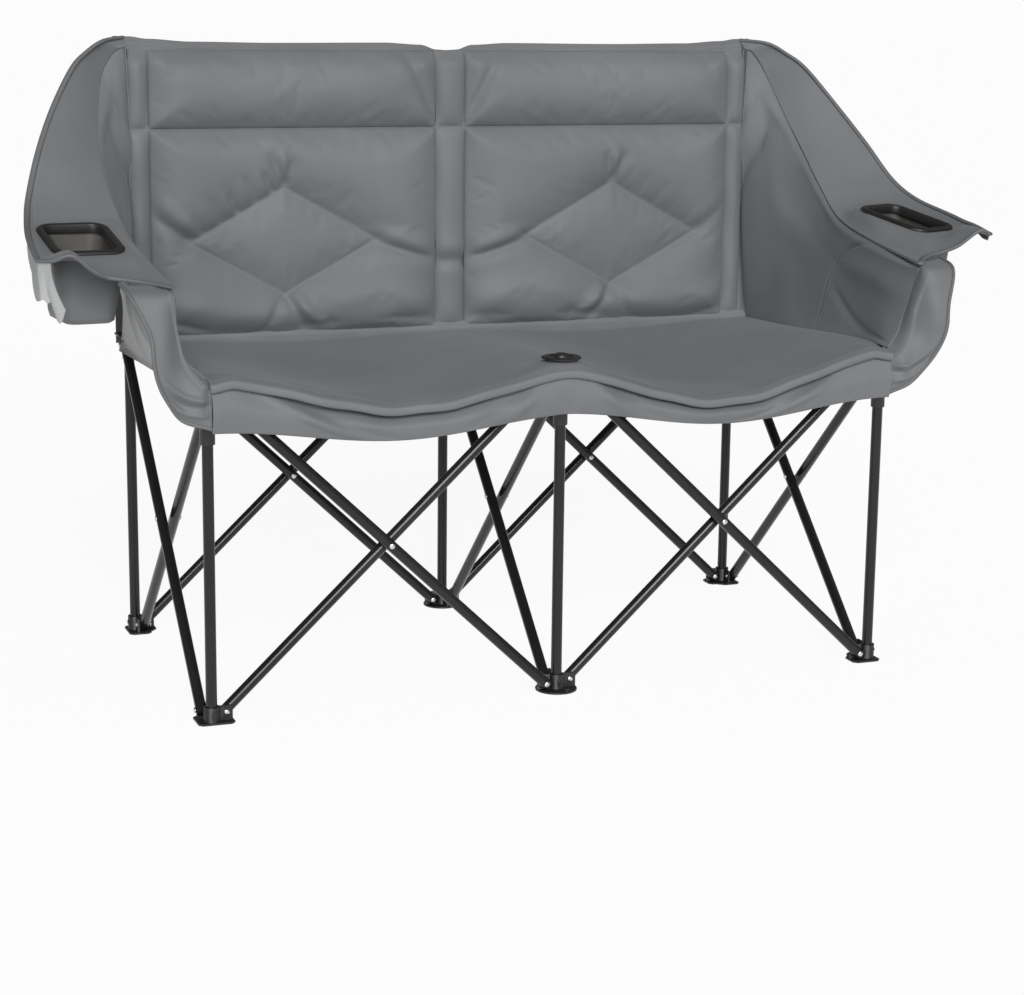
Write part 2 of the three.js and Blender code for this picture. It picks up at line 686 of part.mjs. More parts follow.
function roundedOblong(width, corner, segments) {
  const length = width + ringLength - ringWidth;
  const points = [];
  for (let quarter = 0; quarter < 4; quarter += 1) {
    for (let step = 0; step <= segments; step += 1) {
      const angle = quarterTurn * (quarter + step / segments);
      const [x, y] = [[1, 1], [-1, 1], [-1, -1], [1, -1]][quarter];
      const across = x * (width / 2 - corner) + corner * Math.cos(angle);
      points.push([across, y * (length / 2 - corner) + corner * Math.sin(angle)]);
    }
  }
  return points;
}

const cornerSteps = 3;
const ringTiltAngle = THREE.MathUtils.degToRad(ringTilt);
const ringOpening = ringWidth - 2 * ringRim;
const openingCorner = ringCorner - ringRim;
const ringTop = plate(roundedOblong(ringWidth, ringCorner, cornerSteps), 0, ringHeight);
const ringNeck = plate(roundedOblong(ringOpening + 2 * ringWall, openingCorner + ringWall, cornerSteps),
  -ringCollar, ringCollar + ringHeight / 2);
const ringHole = plate(roundedOblong(ringOpening, openingCorner, cornerSteps),
  -ringCollar - cutOverrun, ringCollar + ringHeight + 2 * cutOverrun);
const ringSolid = cut(join(ringTop, ringNeck), ringHole);

// The pocket's mouth follows the tilted ring, and its floor hangs level
function pocketGeometry() {
  const neckRoom = ringCollar * Math.sin(ringTiltAngle) + 4 * seatGap;
  const width = ringOpening + 2 * (ringWall + pocketWall + neckRoom);
  const corner = openingCorner + ringWall + pocketWall + neckRoom;
  const mouth = -seatGap;
  const rings = [
    { inset: 0, taper: 0, drop: mouth, follow: 1 },
    { inset: 0, taper: pocketTaper, drop: -pocketDepth, follow: 0 },
    { inset: pocketWall, taper: pocketTaper, drop: -pocketDepth + pocketWall, follow: 0 },
    { inset: pocketWall, taper: 0, drop: mouth, follow: 1 },
  ];
  const corners = [];
  const faces = [];
  const count = 4 * (cornerSteps + 1);
  for (const { inset, taper, drop, follow } of rings) {
    for (const [x, y] of roundedOblong(width - 2 * inset - taper, corner - inset, cornerSteps)) {
      corners.push(x, y, drop + follow * y * Math.tan(ringTiltAngle));
    }
  }
  for (let ring = 0; ring < 3; ring += 1) {
    if (ring === 1) continue;
    for (let k = 0; k < count; k += 1) {
      const [a, b] = [ring * count + k, ring * count + ((k + 1) % count)];
      faces.push(a, a + count, b + count, a, b + count, b);
    }
  }
  for (let k = 0; k < count; k += 1) {
    const [a, b] = [k, (k + 1) % count];
    faces.push(3 * count + a, a, b, 3 * count + a, b, 3 * count + b);
  }
  for (const ring of [1, 2]) {
    const floor = corners.length / 3;
    corners.push(0, 0, rings[ring].drop);
    for (let k = 0; k < count; k += 1) {
      const [a, b] = [ring * count + k, ring * count + ((k + 1) % count)];
      if (ring === 1) faces.push(floor, b, a);
      else faces.push(floor, a, b);
    }
  }
  return outward(corners, faces);
}

const pocket = pocketGeometry();

for (const { name, side } of sides) {
  const turn = THREE.MathUtils.degToRad(side < 0 ? leftRingTurn : rightRingTurn);
  const centre = mirrored(ringCentre, side);
  const holder = new THREE.Group();
  holder.position.set(...centre);
  holder.rotation.z = turn;
  const ring = add(holder, `${name}_cup_ring`, toGeometry(ringSolid), blackPlastic);
  ring.rotation.x = ringTiltAngle;
  add(holder, `${name}_cup_pocket`, pocket, pocketFabric);
  chair.add(holder);

  const opening = ringWidth + 2 * seatGap;
  const hole = plate(roundedOblong(opening, ringCorner, cornerSteps), -pocketDepth, 2 * pocketDepth)
    .rotate([0, 0, THREE.MathUtils.radToDeg(turn)]).translate(centre);
  const top = (u, v) => mirrored(wingTop(u, v), side);
  const under = (u, v) => mirrored(wingTop(u, v).setZ(wingTop(u, v).z - wingThickness), side);
  add(chair, `${name}_wing`, toGeometry(cut(toSolid(pad(top, under, 16, 5)), hole)), greyFabric);
}

// Side walls: padded panels from the seat up to the wings' seams
const wallFootShares = [
  [1.035, 0.43, 0.009], [1.034, 0.2, 0.016], [1.034, 0, 0.022], [1.034, -0.25, 0.028], [1.032, -0.42, 0.034],
  [1.008, -0.528, 0.041],
];
const wallFoot = curve(wallFootShares);
const wallBackShares = [
  [1.035, 0.43, 0.009], [1.02, 0.447, 0.06], [1.003, 0.4533, 0.417], [0.991, 0.4533, 0.663], [1.0, 0.4533, 0.95],
];
const wallBack = curve(wallBackShares);
const bandFoldShares = [
  [1.008, -0.528, 0.041], [1.024, -0.521, 0.061], [1.047, -0.51, 0.091], [1.067, -0.496, 0.128],
  [1.078, -0.498, 0.171], [1.084, -0.508, 0.219], [1.091, -0.523, 0.267], [1.092, -0.54, 0.3],
];
const bandFold = curve(bandFoldShares);

function wallTop(u) {
  const seam = wingSeam(u);
  const lowered = seam.setZ(seam.z - wingThickness - wingDrop);
  const back = wallBack(1).sub(wingSeam(0).setZ(wingSeam(0).z - wingThickness - wingDrop));
  const front = bandFold(1).sub(wingSeam(1).setZ(wingSeam(1).z - wingThickness - wingDrop));
  return lowered.add(back.multiplyScalar(1 - ease(u, 0, 0.15))).add(front.multiplyScalar(ease(u, 0.9, 1)));
}

// A patch stretched between four edges
function stretched(foot, head, first, last) {
  return (u, v) => {
    const between = foot(u).lerp(head(u), v).add(first(v).lerp(last(v), u));
    const lower = foot(0).lerp(foot(1), u);
    const upper = head(0).lerp(head(1), u);
    return between.sub(lower.lerp(upper, v));
  };
}

const wallFace = stretched(wallFoot, wallTop, wallBack, bandFold);
for (const { name, side } of sides) {
  const inner = (u, v) => mirrored(wallFace(u, v), side);
  const outer = (u, v) => {
    const face = wallFace(u, v);
    const crown = wallEdge + wallCrown * Math.sin(Math.PI * v) * Math.sin(Math.PI * Math.min(1, u * 1.15));
    return mirrored(face.setX(face.x + crown), side);
  };
  add(chair, `${name}_side_wall`, pad(inner, outer, 12, 6), greyFabric);
}

// Arm bands: the cloth that wraps an arm rod, from the skirt's end up to the arm's front edge
const skirtHalf = seatHalfWidth(seatFront);
const bandStartShare = (skirtHalf + seatGap) / postSpacing;
const bandInnerShares = [
  [bandStartShare, -0.559, 0.024], [1.03, -0.545, 0.06], [1.062, -0.525, 0.111], [1.075, -0.522, 0.167],
  [1.085, -0.53, 0.222], [1.094, -0.557, 0.302],
];
const bandInner = curve(bandInnerShares);
const bandOuterShares = [
  [bandStartShare, -0.559, -0.094], [1.08, -0.551, -0.061], [1.13, -0.575, 0.011], [1.155, -0.6, 0.111],
  [1.172, -0.593, 0.2], [1.2, -0.545, 0.3],
];
const bandOuter = curve(bandOuterShares);
for (const { name, side } of sides) {
  const front = (u, v) => mirrored(bandInner(u).lerp(bandOuter(u), v), side);
  const behind = new THREE.Vector3(0, clothThickness, 0);
  const rear = (u, v) => mirrored(bandInner(u).lerp(bandOuter(u), v).add(behind), side);
  add(chair, `${name}_arm_band`, pad(front, rear, 10, 3), greyFabric);
}

// Skirt: hangs below the seat's front edge
const skirtFace = seatFront + skirtDepth;
const skirtHeightShares = { post: 0.115, sag: 0.085 };

const skirtTop = (across) => seatBottom(across, skirtFace + clothThickness) - seatGap;
function skirtBottomAt(across) {
  const drop = mix(skirtHeightShares.post, skirtHeightShares.sag, Math.sin(Math.PI * Math.abs(across)) ** 2);
  return skirtTop(across) - drop * (backTop - seatLevel);
}
function skirtSheet(y) {
  return (u, v) => {
    const across = 2 * u - 1;
    return [across * skirtHalf, y, mix(skirtTop(across), skirtBottomAt(across), v)];
  };
}
const skirt = pad(skirtSheet(skirtFace), skirtSheet(skirtFace + clothThickness), seatColumns, skirtRows);
add(chair, 'front_skirt', skirt, greyFabric);

// Flaps: short hangings below the arms' outer edges
const flapEndShare = 0.7;
for (const { name, side } of sides) {
  const flapDrop = side < 0 ? leftFlapDrop : rightFlapDrop;
  const sheet = (inset) => (u, v) => {
    const edge = wingEdge(mix(1, flapEndShare, u));
    const drop = flapDrop * mix(1, 0.35, u) * v;
    const curl = inset + flapDrop * mix(0.38, 0.12, ease(u, 0, 0.4)) * v * v;
    return mirrored(edge.add(new THREE.Vector3(-curl, 0, -wingThickness - flapGap - drop)), side);
  };
  add(chair, `${name}_arm_flap`, pad(sheet(clothThickness / 2), sheet(clothThickness * 1.5), 6, 3), greyFabric);
}

// The arms reach further forward than the back does behind; the origin is midway
const forwardReach = 312.2;
const backwardReach = 290.7;
chair.position.y = (forwardReach - backwardReach) / 2;

export default chair;
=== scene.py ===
import json
import math
import bpy
import bmesh
import numpy as np
from mathutils import Matrix, Vector

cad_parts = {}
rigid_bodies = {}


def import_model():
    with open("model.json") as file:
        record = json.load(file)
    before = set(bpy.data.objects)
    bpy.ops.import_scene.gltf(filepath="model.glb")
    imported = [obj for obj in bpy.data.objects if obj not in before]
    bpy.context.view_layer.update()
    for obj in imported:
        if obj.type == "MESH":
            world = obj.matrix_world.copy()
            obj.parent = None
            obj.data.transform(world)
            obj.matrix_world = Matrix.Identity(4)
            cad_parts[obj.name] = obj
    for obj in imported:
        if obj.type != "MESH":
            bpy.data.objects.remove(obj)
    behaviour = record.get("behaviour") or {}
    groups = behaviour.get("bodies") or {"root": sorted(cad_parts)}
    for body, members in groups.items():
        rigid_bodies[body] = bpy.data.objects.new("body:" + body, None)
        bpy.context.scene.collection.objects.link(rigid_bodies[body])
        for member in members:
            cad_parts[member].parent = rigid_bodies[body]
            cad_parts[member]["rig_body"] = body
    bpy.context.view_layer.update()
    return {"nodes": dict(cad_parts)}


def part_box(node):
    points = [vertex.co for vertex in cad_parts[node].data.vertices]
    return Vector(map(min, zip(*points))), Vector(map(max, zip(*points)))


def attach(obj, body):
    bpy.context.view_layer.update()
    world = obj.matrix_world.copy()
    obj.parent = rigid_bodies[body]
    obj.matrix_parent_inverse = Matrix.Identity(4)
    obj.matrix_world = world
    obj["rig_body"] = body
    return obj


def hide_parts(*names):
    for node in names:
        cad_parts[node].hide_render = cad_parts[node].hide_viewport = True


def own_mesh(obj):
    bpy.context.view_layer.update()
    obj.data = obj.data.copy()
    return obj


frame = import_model()

# The camera stands a little left of the chair's middle, at the height of a standing person's waist, and looks
# down and to the right with a long lens.
camera_place = (-1.25318, -3.36128, 1.00843)
view_yaw, view_pitch, view_roll = 0.36244, 0.21127, 0.01171


def shown(name, data):
    """A new object of the scene that holds the given mesh, lamp or camera."""
    fresh = bpy.data.objects.new(name, data)
    bpy.context.scene.collection.objects.link(fresh)
    return fresh


camera = shown("camera", bpy.data.cameras.new("camera"))
ahead = Vector((math.sin(view_yaw) * math.cos(view_pitch), math.cos(view_yaw) * math.cos(view_pitch),
                -math.sin(view_pitch)))
level_right = Vector((math.cos(view_yaw), -math.sin(view_yaw), 0))
level_up = level_right.cross(ahead)
right = math.cos(view_roll) * level_right + math.sin(view_roll) * level_up
up = math.cos(view_roll) * level_up - math.sin(view_roll) * level_right
camera.matrix_world = Matrix.Translation(camera_place) @ Matrix((right, up, -ahead)).transposed().to_4x4()
camera.data.sensor_fit = "HORIZONTAL"
camera.data.lens = 82.876
camera.data.clip_end = 200
bpy.context.scene.camera = camera
bpy.context.scene.view_settings.view_transform = "Standard"

# A white studio: a pale floor that runs out to a white surround, a broad soft lamp in front and a little to the
# left, a weak one on the right, and a long low softbox that draws the bright lines along the tubes.
floor_reach = 60
white, floor_grey = (1, 1, 1, 1), (0.9, 0.9, 0.9, 1)


def added(nodes, kind, **inputs):
    """A new node with some of its inputs set. An underscore stands for the space in an input's name."""
    fresh = nodes.new(kind)
    for name, value in inputs.items():
        fresh.inputs[name.replace("_", " ")].default_value = value
    return fresh


def wired(links, *joints):
    """Joins nodes: each joint is a node and its output, then the next node and its input."""
    for giver, out, taker, into in joints:
        links.new(giver.outputs[out], taker.inputs[into])


floor = shown("studio_floor", bpy.data.meshes.new("studio_floor"))
floor.data.from_pydata([(x * floor_reach, y * floor_reach, 0) for x, y in ((-1, -1), (1, -1), (1, 1), (-1, 1))],
                       [], [(0, 1, 2, 3)])
floor_paint = bpy.data.materials.new("white_floor")
floor_paint.use_nodes = True
nodes, links = floor_paint.node_tree.nodes, floor_paint.node_tree.links
nodes.clear()
matt = added(nodes, "ShaderNodeBsdfDiffuse", Color=floor_grey)
bright = added(nodes, "ShaderNodeEmission", Color=white)
seen = added(nodes, "ShaderNodeMixShader", Fac=0.93)
path = nodes.new("ShaderNodeLightPath")
either = nodes.new("ShaderNodeMath")
either.operation = "MAXIMUM"
choose = nodes.new("ShaderNodeMixShader")
sink = nodes.new("ShaderNodeOutputMaterial")
wired(links, (path, "Is Camera Ray", either, 0), (path, "Is Glossy Ray", either, 1), (matt, 0, seen, 1),
      (bright, 0, seen, 2), (either, 0, choose, "Fac"), (matt, 0, choose, 1), (seen, 0, choose, 2),
      (choose, 0, sink, "Surface"))
floor.data.materials.append(floor_paint)

surround = bpy.data.worlds.new("studio")
bpy.context.scene.world = surround
surround.use_nodes = True
nodes, links = surround.node_tree.nodes, surround.node_tree.links
nodes.clear()
soft_light = added(nodes, "ShaderNodeBackground", Color=white, Strength=0.17)
backdrop = added(nodes, "ShaderNodeBackground", Color=white, Strength=0.976)
path = nodes.new("ShaderNodeLightPath")
choose = nodes.new("ShaderNodeMixShader")
sink = nodes.new("ShaderNodeOutputWorld")
wired(links, (path, "Is Camera Ray", choose, "Fac"), (soft_light, 0, choose, 1), (backdrop, 0, choose, 2),
      (choose, 0, sink, "Surface"))

softbox_height = 0.25
for name, kind, place, aim, energy, spread in (
        ("front_lamp", "SUN", (-1.0, -5.1, 3.15), (0, 0, 0.5), 3.3, math.radians(35)),
        ("right_lamp", "SUN", (5, -3, 3.5), (0, 0, 0.5), 0.2, math.radians(60)),
        ("low_softbox", "AREA", (-2.6, -3.2, 0.7), (0.1, 0, 0.35), 20, 1.6)):
    lamp = shown(name, bpy.data.lights.new(name, kind))
    lamp.location = place
    lamp.rotation_euler = (Vector(aim) - Vector(place)).to_track_quat("-Z", "Y").to_euler()
    lamp.data.energy = energy
    if kind == "SUN":
        lamp.data.angle = spread
    else:
        lamp.data.shape = "RECTANGLE"
        lamp.data.size, lamp.data.size_y = spread, softbox_height

# Steel tubes: 16 mm round tube, powder-coated satin black, in crossing pairs between the feet and the collars.
# Each is closed with a slightly domed plastic plug.
tube_radius = 0.008
post_spacing = 0.520
row_shift = 0.01075  # the origin is midway in depth, and the rows of posts lie a little behind it
lower_pin, upper_pin = 0.014, 0.465
pin_inset = 0.0215  # from a post's axis
tube_offset = 0.010  # of each tube of a pair from the pair's middle plane
tube_overrun = 0.0075


def painted(name, colour, roughness, scale, height, detail, shades, glosses, metallic=0.0):
    """A new material with noise on object coordinates: a fine bump and gloss, and a slow change of shade."""
    material = bpy.data.materials.new(name)
    material.use_nodes = True
    nodes, links = material.node_tree.nodes, material.node_tree.links
    shader = nodes["Principled BSDF"]
    for socket, value in (("Base Color", (*colour, 1)), ("Roughness", roughness), ("Metallic", metallic)):
        shader.inputs[socket].default_value = value
    place = nodes.new("ShaderNodeTexCoord")
    noise = added(nodes, "ShaderNodeTexNoise", Scale=scale, Detail=detail)
    bump = added(nodes, "ShaderNodeBump", Strength=0.35, Distance=height)
    cloud = added(nodes, "ShaderNodeTexNoise", Scale=7, Detail=3)
    ramp = nodes.new("ShaderNodeValToRGB")
    for end, at, shade in zip(ramp.color_ramp.elements, (0.3, 0.7), shades):
        end.position, end.color = at, (*shade, 1)
    spread = added(nodes, "ShaderNodeMapRange", To_Min=glosses[0], To_Max=glosses[1])
    wired(links, (place, "Object", noise, "Vector"), (noise, "Fac", bump, "Height"),
          (bump, "Normal", shader, "Normal"), (place, "Object", cloud, "Vector"), (cloud, "Fac", ramp, "Fac"),
          (ramp, "Color", shader, "Base Color"), (noise, "Fac", spread, "Value"),
          (spread, "Result", shader, "Roughness"))
    return material, shader, nodes, links, place, bump


powder_coat, shader = painted("black_powder_coat", (0.009, 0.0095, 0.0105), 0.2, 900, 0.00008, 2,
                              ((0.007, 0.0075, 0.0085), (0.012, 0.0125, 0.0135)), (0.16, 0.26))[:2]
shader.inputs["Specular IOR Level"].default_value = 0.36


def turned_out(mesh):
    """Joins the corners of a mesh that coincide, and turns its faces out."""
    shell = bmesh.new()
    shell.from_mesh(mesh)
    bmesh.ops.remove_doubles(shell, verts=shell.verts, dist=1e-6)
    bmesh.ops.recalc_face_normals(shell, faces=shell.faces)
    shell.to_mesh(mesh)
    shell.free()


def make_piece(name, corners, faces, material, smooth_angle):
    """A mesh object in the chair's own coordinates, with faces that point out."""
    mesh = bpy.data.meshes.new(name)
    mesh.from_pydata([tuple(c) for c in corners], [], faces)
    turned_out(mesh)
    mesh.materials.append(material)
    mesh.shade_smooth()
    mesh.set_sharp_from_angle(angle=math.radians(smooth_angle))
    return shown(name, mesh)


def fitted(piece, node, stands_for_it=True, squash=None):
    """Puts a piece on the body of a CAD node, hides the node if the piece takes its place, and gives a piece that is to
    crumple a mesh of its own.
    """
    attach(piece, frame["nodes"][node]["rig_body"])
    if stands_for_it:
        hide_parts(node)
    if squash:
        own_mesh(piece)
    return piece


def skin(rings, count):
    """The faces between closed rings of corners that are laid one after another."""
    return [(r * count + k, r * count + (k + 1) % count, (r + 1) * count + (k + 1) % count, (r + 1) * count + k)
            for r in rings for k in range(count)]


def turns(count):
    """Equal steps of a full turn."""
    return [2 * math.pi * k / count for k in range(count)]


def ring_ends(rings, count):
    """A face across the first ring and one across the last."""
    return [tuple(range(count)), tuple(range((rings - 1) * count, rings * count))]


def ring_join(rings, count):
    """The faces that lead from the last ring back to the first."""
    last = (rings - 1) * count
    return [(last + k, last + (k + 1) % count, (k + 1) % count, k) for k in range(count)]


def steel_tube(name, start, finish, radius, node):
    """A closed round tube, with its end plugs, that stands for one CAD tube."""
    start, finish = Vector(start), Vector(finish)
    along = (finish - start).normalized()
    side = along.orthogonal().normalized()
    other = along.cross(side)
    dome, sides = 0.0012, 32
    rings = [(0, 0.55), (dome * 0.6, 0.86), (dome, 1.0)]
    length = (finish - start).length
    rings += [(length - at, share) for at, share in reversed(rings)]
    corners = [start + along * at + (side * math.cos(turn) + other * math.sin(turn)) * radius * share
               for at, share in rings for turn in turns(sides)]
    faces = skin(range(len(rings) - 1), sides) + ring_ends(len(rings), sides)
    fitted(make_piece(name, corners, faces, powder_coat, 50), node)


# Each pair's middle, in post spacings from the chair's own, and the way that it runs.
pair_middles = {"front_left": (-0.5, -0.5, "X"), "front_right": (0.5, -0.5, "X"), "back_left": (-0.5, 0.5, "X"),
                "back_right": (0.5, 0.5, "X"), "side_left": (-1, 0, "Y"), "middle": (0, 0, "Y"),
                "side_right": (1, 0, "Y")}
ways_of_run = {"X": (Vector((1, 0, 0)), Vector((0, 1, 0))), "Y": (Vector((0, 1, 0)), Vector((-1, 0, 0)))}
pin_reach = post_spacing / 2 - pin_inset
pin_spots = []  # body, place on the middle plane, way out through the tube
for pair, (out, back, runs) in pair_middles.items():
    middle = Vector((out * post_spacing, back * post_spacing + row_shift, 0))
    run, across = ways_of_run[runs]
    for lean, offset, first, last in (("falling", -1, upper_pin, lower_pin), ("rising", 1, lower_pin, upper_pin)):
        node = f"{pair}_tube_{lean}"
        ends = [middle - run * pin_reach + Vector((0, 0, first)), middle + run * pin_reach + Vector((0, 0, last))]
        slope = (ends[1] - ends[0]).normalized()
        steel_tube(f"{node}_steel", ends[0] - slope * tube_overrun + across * offset * tube_offset,
                   ends[1] + slope * tube_overrun + across * offset * tube_offset, tube_radius, node)
        pin_spots += [(node, end, across * offset) for end in ends]

# Posts and uprights: the front posts are short outer tubes in which a thinner rod slides with the seat's front
# collars, and the back uprights run on up inside the back's sleeves.
thin_rod_radius = 0.006
for kind, radius in (("front_{}_post", tube_radius), ("back_{}_upright", tube_radius),
                     ("front_{}_sliding_rod", thin_rod_radius)):
    for place in ("left", "middle", "right"):
        node = kind.format(place)
        low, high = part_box(node)
        middle = (low + high) / 2
        steel_tube(f"{node}_steel", (middle.x, middle.y, low.z), (middle.x, middle.y, high.z), radius, node)

# Arm rods: thin rods that lean out from an ear on each front corner collar, inside the cloth of the arm, with a
# round plastic cap that the arm's front corner rests on.
arm_rod_lean = Vector((0.047, -0.006, 0.140))
hands = (-1, "left"), (1, "right")
ear_reach, ear_height, rod_seat = 0.024, 0.452, 0.0043  # the ear's middle from the post, and the rod's start in it
for side, name in hands:
    lean = Vector((side * arm_rod_lean.x, arm_rod_lean.y, arm_rod_lean.z))
    foot = Vector((side * (post_spacing + ear_reach), -post_spacing / 2 + row_shift, ear_height))
    steel_tube(f"{name}_arm_rod_steel", foot + lean.normalized() * rod_seat, foot + lean, thin_rod_radius,
               f"{name}_arm_rod")

# Feet and collars: black moulded plastic, each with a round socket for the post and two webs that the tubes are
# pinned to. The mouldings are as the CAD has them, with their edges eased as a mould leaves them.
moulded_plastic = painted("black_moulded_plastic", (0.01, 0.01, 0.0105), 0.42, 1400, 0.00012, 3,
                          ((0.008, 0.008, 0.0085), (0.014, 0.014, 0.015)), (0.36, 0.5))[0]


def settle(piece):
    """Applies a piece's modifiers, so that its mesh is its final form."""
    bpy.context.view_layer.update()
    shaped = piece.evaluated_get(bpy.context.evaluated_depsgraph_get())
    final = bpy.data.meshes.new_from_object(shaped)
    piece.modifiers.clear()
    final.name = piece.name
    piece.data = final
    return piece


def eased_moulding(node):
    """A copy of a CAD moulding with its flat faces whole again and its edges rounded."""
    shell = bmesh.new()
    shell.from_mesh(frame["nodes"][node].data)
    bmesh.ops.remove_doubles(shell, verts=shell.verts, dist=2e-5)
    bmesh.ops.dissolve_limit(shell, angle_limit=math.radians(2), verts=shell.verts, edges=shell.edges)
    mesh = bpy.data.meshes.new(f"{node}_moulding")
    shell.to_mesh(mesh)
    shell.free()
    mesh.materials.clear()
    mesh.materials.append(moulded_plastic)
    moulding = shown(mesh.name, mesh)
    easing = moulding.modifiers.new("eased_edges", "BEVEL")
    easing.width, easing.segments, easing.limit_method = 0.0005, 2, "ANGLE"
    easing.angle_limit = math.radians(35)
    easing.use_clamp_overlap = True
    settle(moulding)
    moulding.data.shade_smooth()
    moulding.data.set_sharp_from_angle(angle=math.radians(38))
    fitted(moulding, node)


for row in ("front", "back"):
    for place in ("left", "middle", "right"):
        eased_moulding(f"{row}_{place}_foot")
        eased_moulding(f"{row}_{place}_collar")

# Rivets: bright zinc-plated heads on both ends of every pin, and through every crossing of two tubes.
zinc = painted("zinc_plate", (0.62, 0.63, 0.64), 0.28, 700, 0.00005, 2, ((0.55, 0.56, 0.57), (0.7, 0.7, 0.71)),
               (0.2, 0.4), 1.0)[0]


def strewn(name, sockets, way, segments, radius, material):
    """A tree that sets a ball on every point, stretched to the named sizes and turned along the attribute way."""
    tree = bpy.data.node_groups.new(name, "GeometryNodeTree")
    tree.interface.new_socket("Geometry", in_out="INPUT", socket_type="NodeSocketGeometry")
    sizes = [tree.interface.new_socket(socket, in_out="INPUT", socket_type="NodeSocketFloat") for socket in sockets]
    tree.interface.new_socket("Geometry", in_out="OUTPUT", socket_type="NodeSocketGeometry")
    nodes = tree.nodes
    source, result = nodes.new("NodeGroupInput"), nodes.new("NodeGroupOutput")
    ball = added(nodes, "GeometryNodeMeshUVSphere", Segments=segments[0], Rings=segments[1], Radius=radius)
    extent = nodes.new("ShaderNodeCombineXYZ")
    stretch = nodes.new("GeometryNodeTransform")
    facing = added(nodes, "GeometryNodeInputNamedAttribute", Name=way)
    facing.data_type = "FLOAT_VECTOR"
    turn = nodes.new("FunctionNodeAlignRotationToVector")
    turn.axis = "Z"
    smooth = nodes.new("GeometryNodeSetShadeSmooth")
    placed = nodes.new("GeometryNodeInstanceOnPoints")
    real = nodes.new("GeometryNodeRealizeInstances")
    paint = added(nodes, "GeometryNodeSetMaterial", Material=material)
    wired(tree.links, (source, sockets[0], extent, "X"), (source, sockets[0], extent, "Y"),
          (source, sockets[1], extent, "Z"), (ball, "Mesh", stretch, "Geometry"), (extent, "Vector", stretch, "Scale"),
          (stretch, "Geometry", smooth, "Geometry"), (facing, "Attribute", turn, "Vector"),
          (source, "Geometry", placed, "Points"), (smooth, "Geometry", placed, "Instance"),
          (turn, "Rotation", placed, "Rotation"), (placed, "Instances", real, "Geometry"),
          (real, "Geometry", paint, "Geometry"), (paint, "Geometry", result, "Geometry"))
    return tree, sizes


def spotted(name, tree, sizes, values, way, spots, ways):
    """One mesh with a copy of the tree's body on every spot, turned along its way."""
    mesh = bpy.data.meshes.new(name)
    mesh.from_pydata([tuple(at) for at in spots], [], [])
    mesh.attributes.new(way, "FLOAT_VECTOR", "POINT").data.foreach_set(
        "vector", [value for along in ways for value in along])
    rows = shown(name, mesh)
    made = rows.modifiers.new(tree.name, "NODES")
    made.node_group = tree
    for size, value in zip(sizes, values):
        made[size.identifier] = value
    return settle(rows)


rivet_tree, rivet_sizes = strewn("rivet_heads", ("Head radius", "Head height"), "way_out", (16, 10), 1, zinc)
head_radius, head_height = 0.0042, 0.0018
web_half, head_gap = 0.0015, 0.0003
heads_of = {}
for node, spot, out in pin_spots:
    heads = heads_of.setdefault(node, [])
    heads.append((spot + out * (tube_offset + tube_radius + head_gap + 0.0008), out))
    heads.append((spot - out * (web_half + 0.0006), -out))
for pair, (out, back, runs) in pair_middles.items():
    across = ways_of_run[runs][1]
    spot = Vector((out * post_spacing, back * post_spacing + row_shift, (upper_pin + lower_pin) / 2))
    reach = tube_offset + tube_radius
    heads_of[f"{pair}_tube_falling"] += [(spot - across * reach, -across), (spot + across * reach, across)]
for node, heads in heads_of.items():
    rivets = spotted(f"{node}_rivets", rivet_tree, rivet_sizes, (head_radius, head_height), "way_out", *zip(*heads))
    fitted(rivets, node, stands_for_it=False)

# Seat: one broad sheet of coated cloth over thin foam, slung from the six collars, so that it sags between the
# posts. It is made as a front and a rear half that meet across the middle, where the seat folds.
seat_level, back_top = 0.468, 0.936


def at_height(out, back, height):
    """A place in post spacings out and back, and in metres up."""
    return np.array((out * post_spacing, back * post_spacing + row_shift, height))


def placed_at(out, back, rise):
    """The same, but with its height as a share of the way from the seat to the back's top."""
    return at_height(out, back, seat_level + rise * (back_top - seat_level))


def line_through(*spots):
    """A smooth curve through the given places, by share of its length in spots."""
    spots = np.array([placed_at(*spot) for spot in spots])
    held = np.vstack((2 * spots[0] - spots[1], spots, 2 * spots[-1] - spots[-2]))

    def at(share):
        where = min(max(share, 0), 1) * (len(spots) - 1)
        k = min(int(where), len(spots) - 2)
        f = where - k
        a, b, c, d = held[k:k + 4]
        return 0.5 * (2 * b + (c - a) * f + (2 * a - 5 * b + 4 * c - d) * f * f + (3 * b - 3 * c + d - a) * f ** 3)
    return at


def eased(value, low, high):
    t = min(max((value - low) / (high - low), 0), 1)
    return t * t * (3 - 2 * t)


def mixed(a, b, share):
    return a + (b - a) * share


def bell(value, middle, width):
    return math.exp(-((value - middle) / width) ** 2)


def faded(value, low, high):
    """1 up to the low value, and 0 from the high one on."""
    return 1 - eased(value, low, high)


def filled(distance, reach):
    """How far a cushion has risen at a distance from its seam: 0 at the seam, and near 1 well past the reach."""
    return 1 - math.exp(-distance / reach)


def arch(share):
    """A half wave, 0 at both ends of the share and 1 in its middle."""
    return math.sin(math.pi * share)


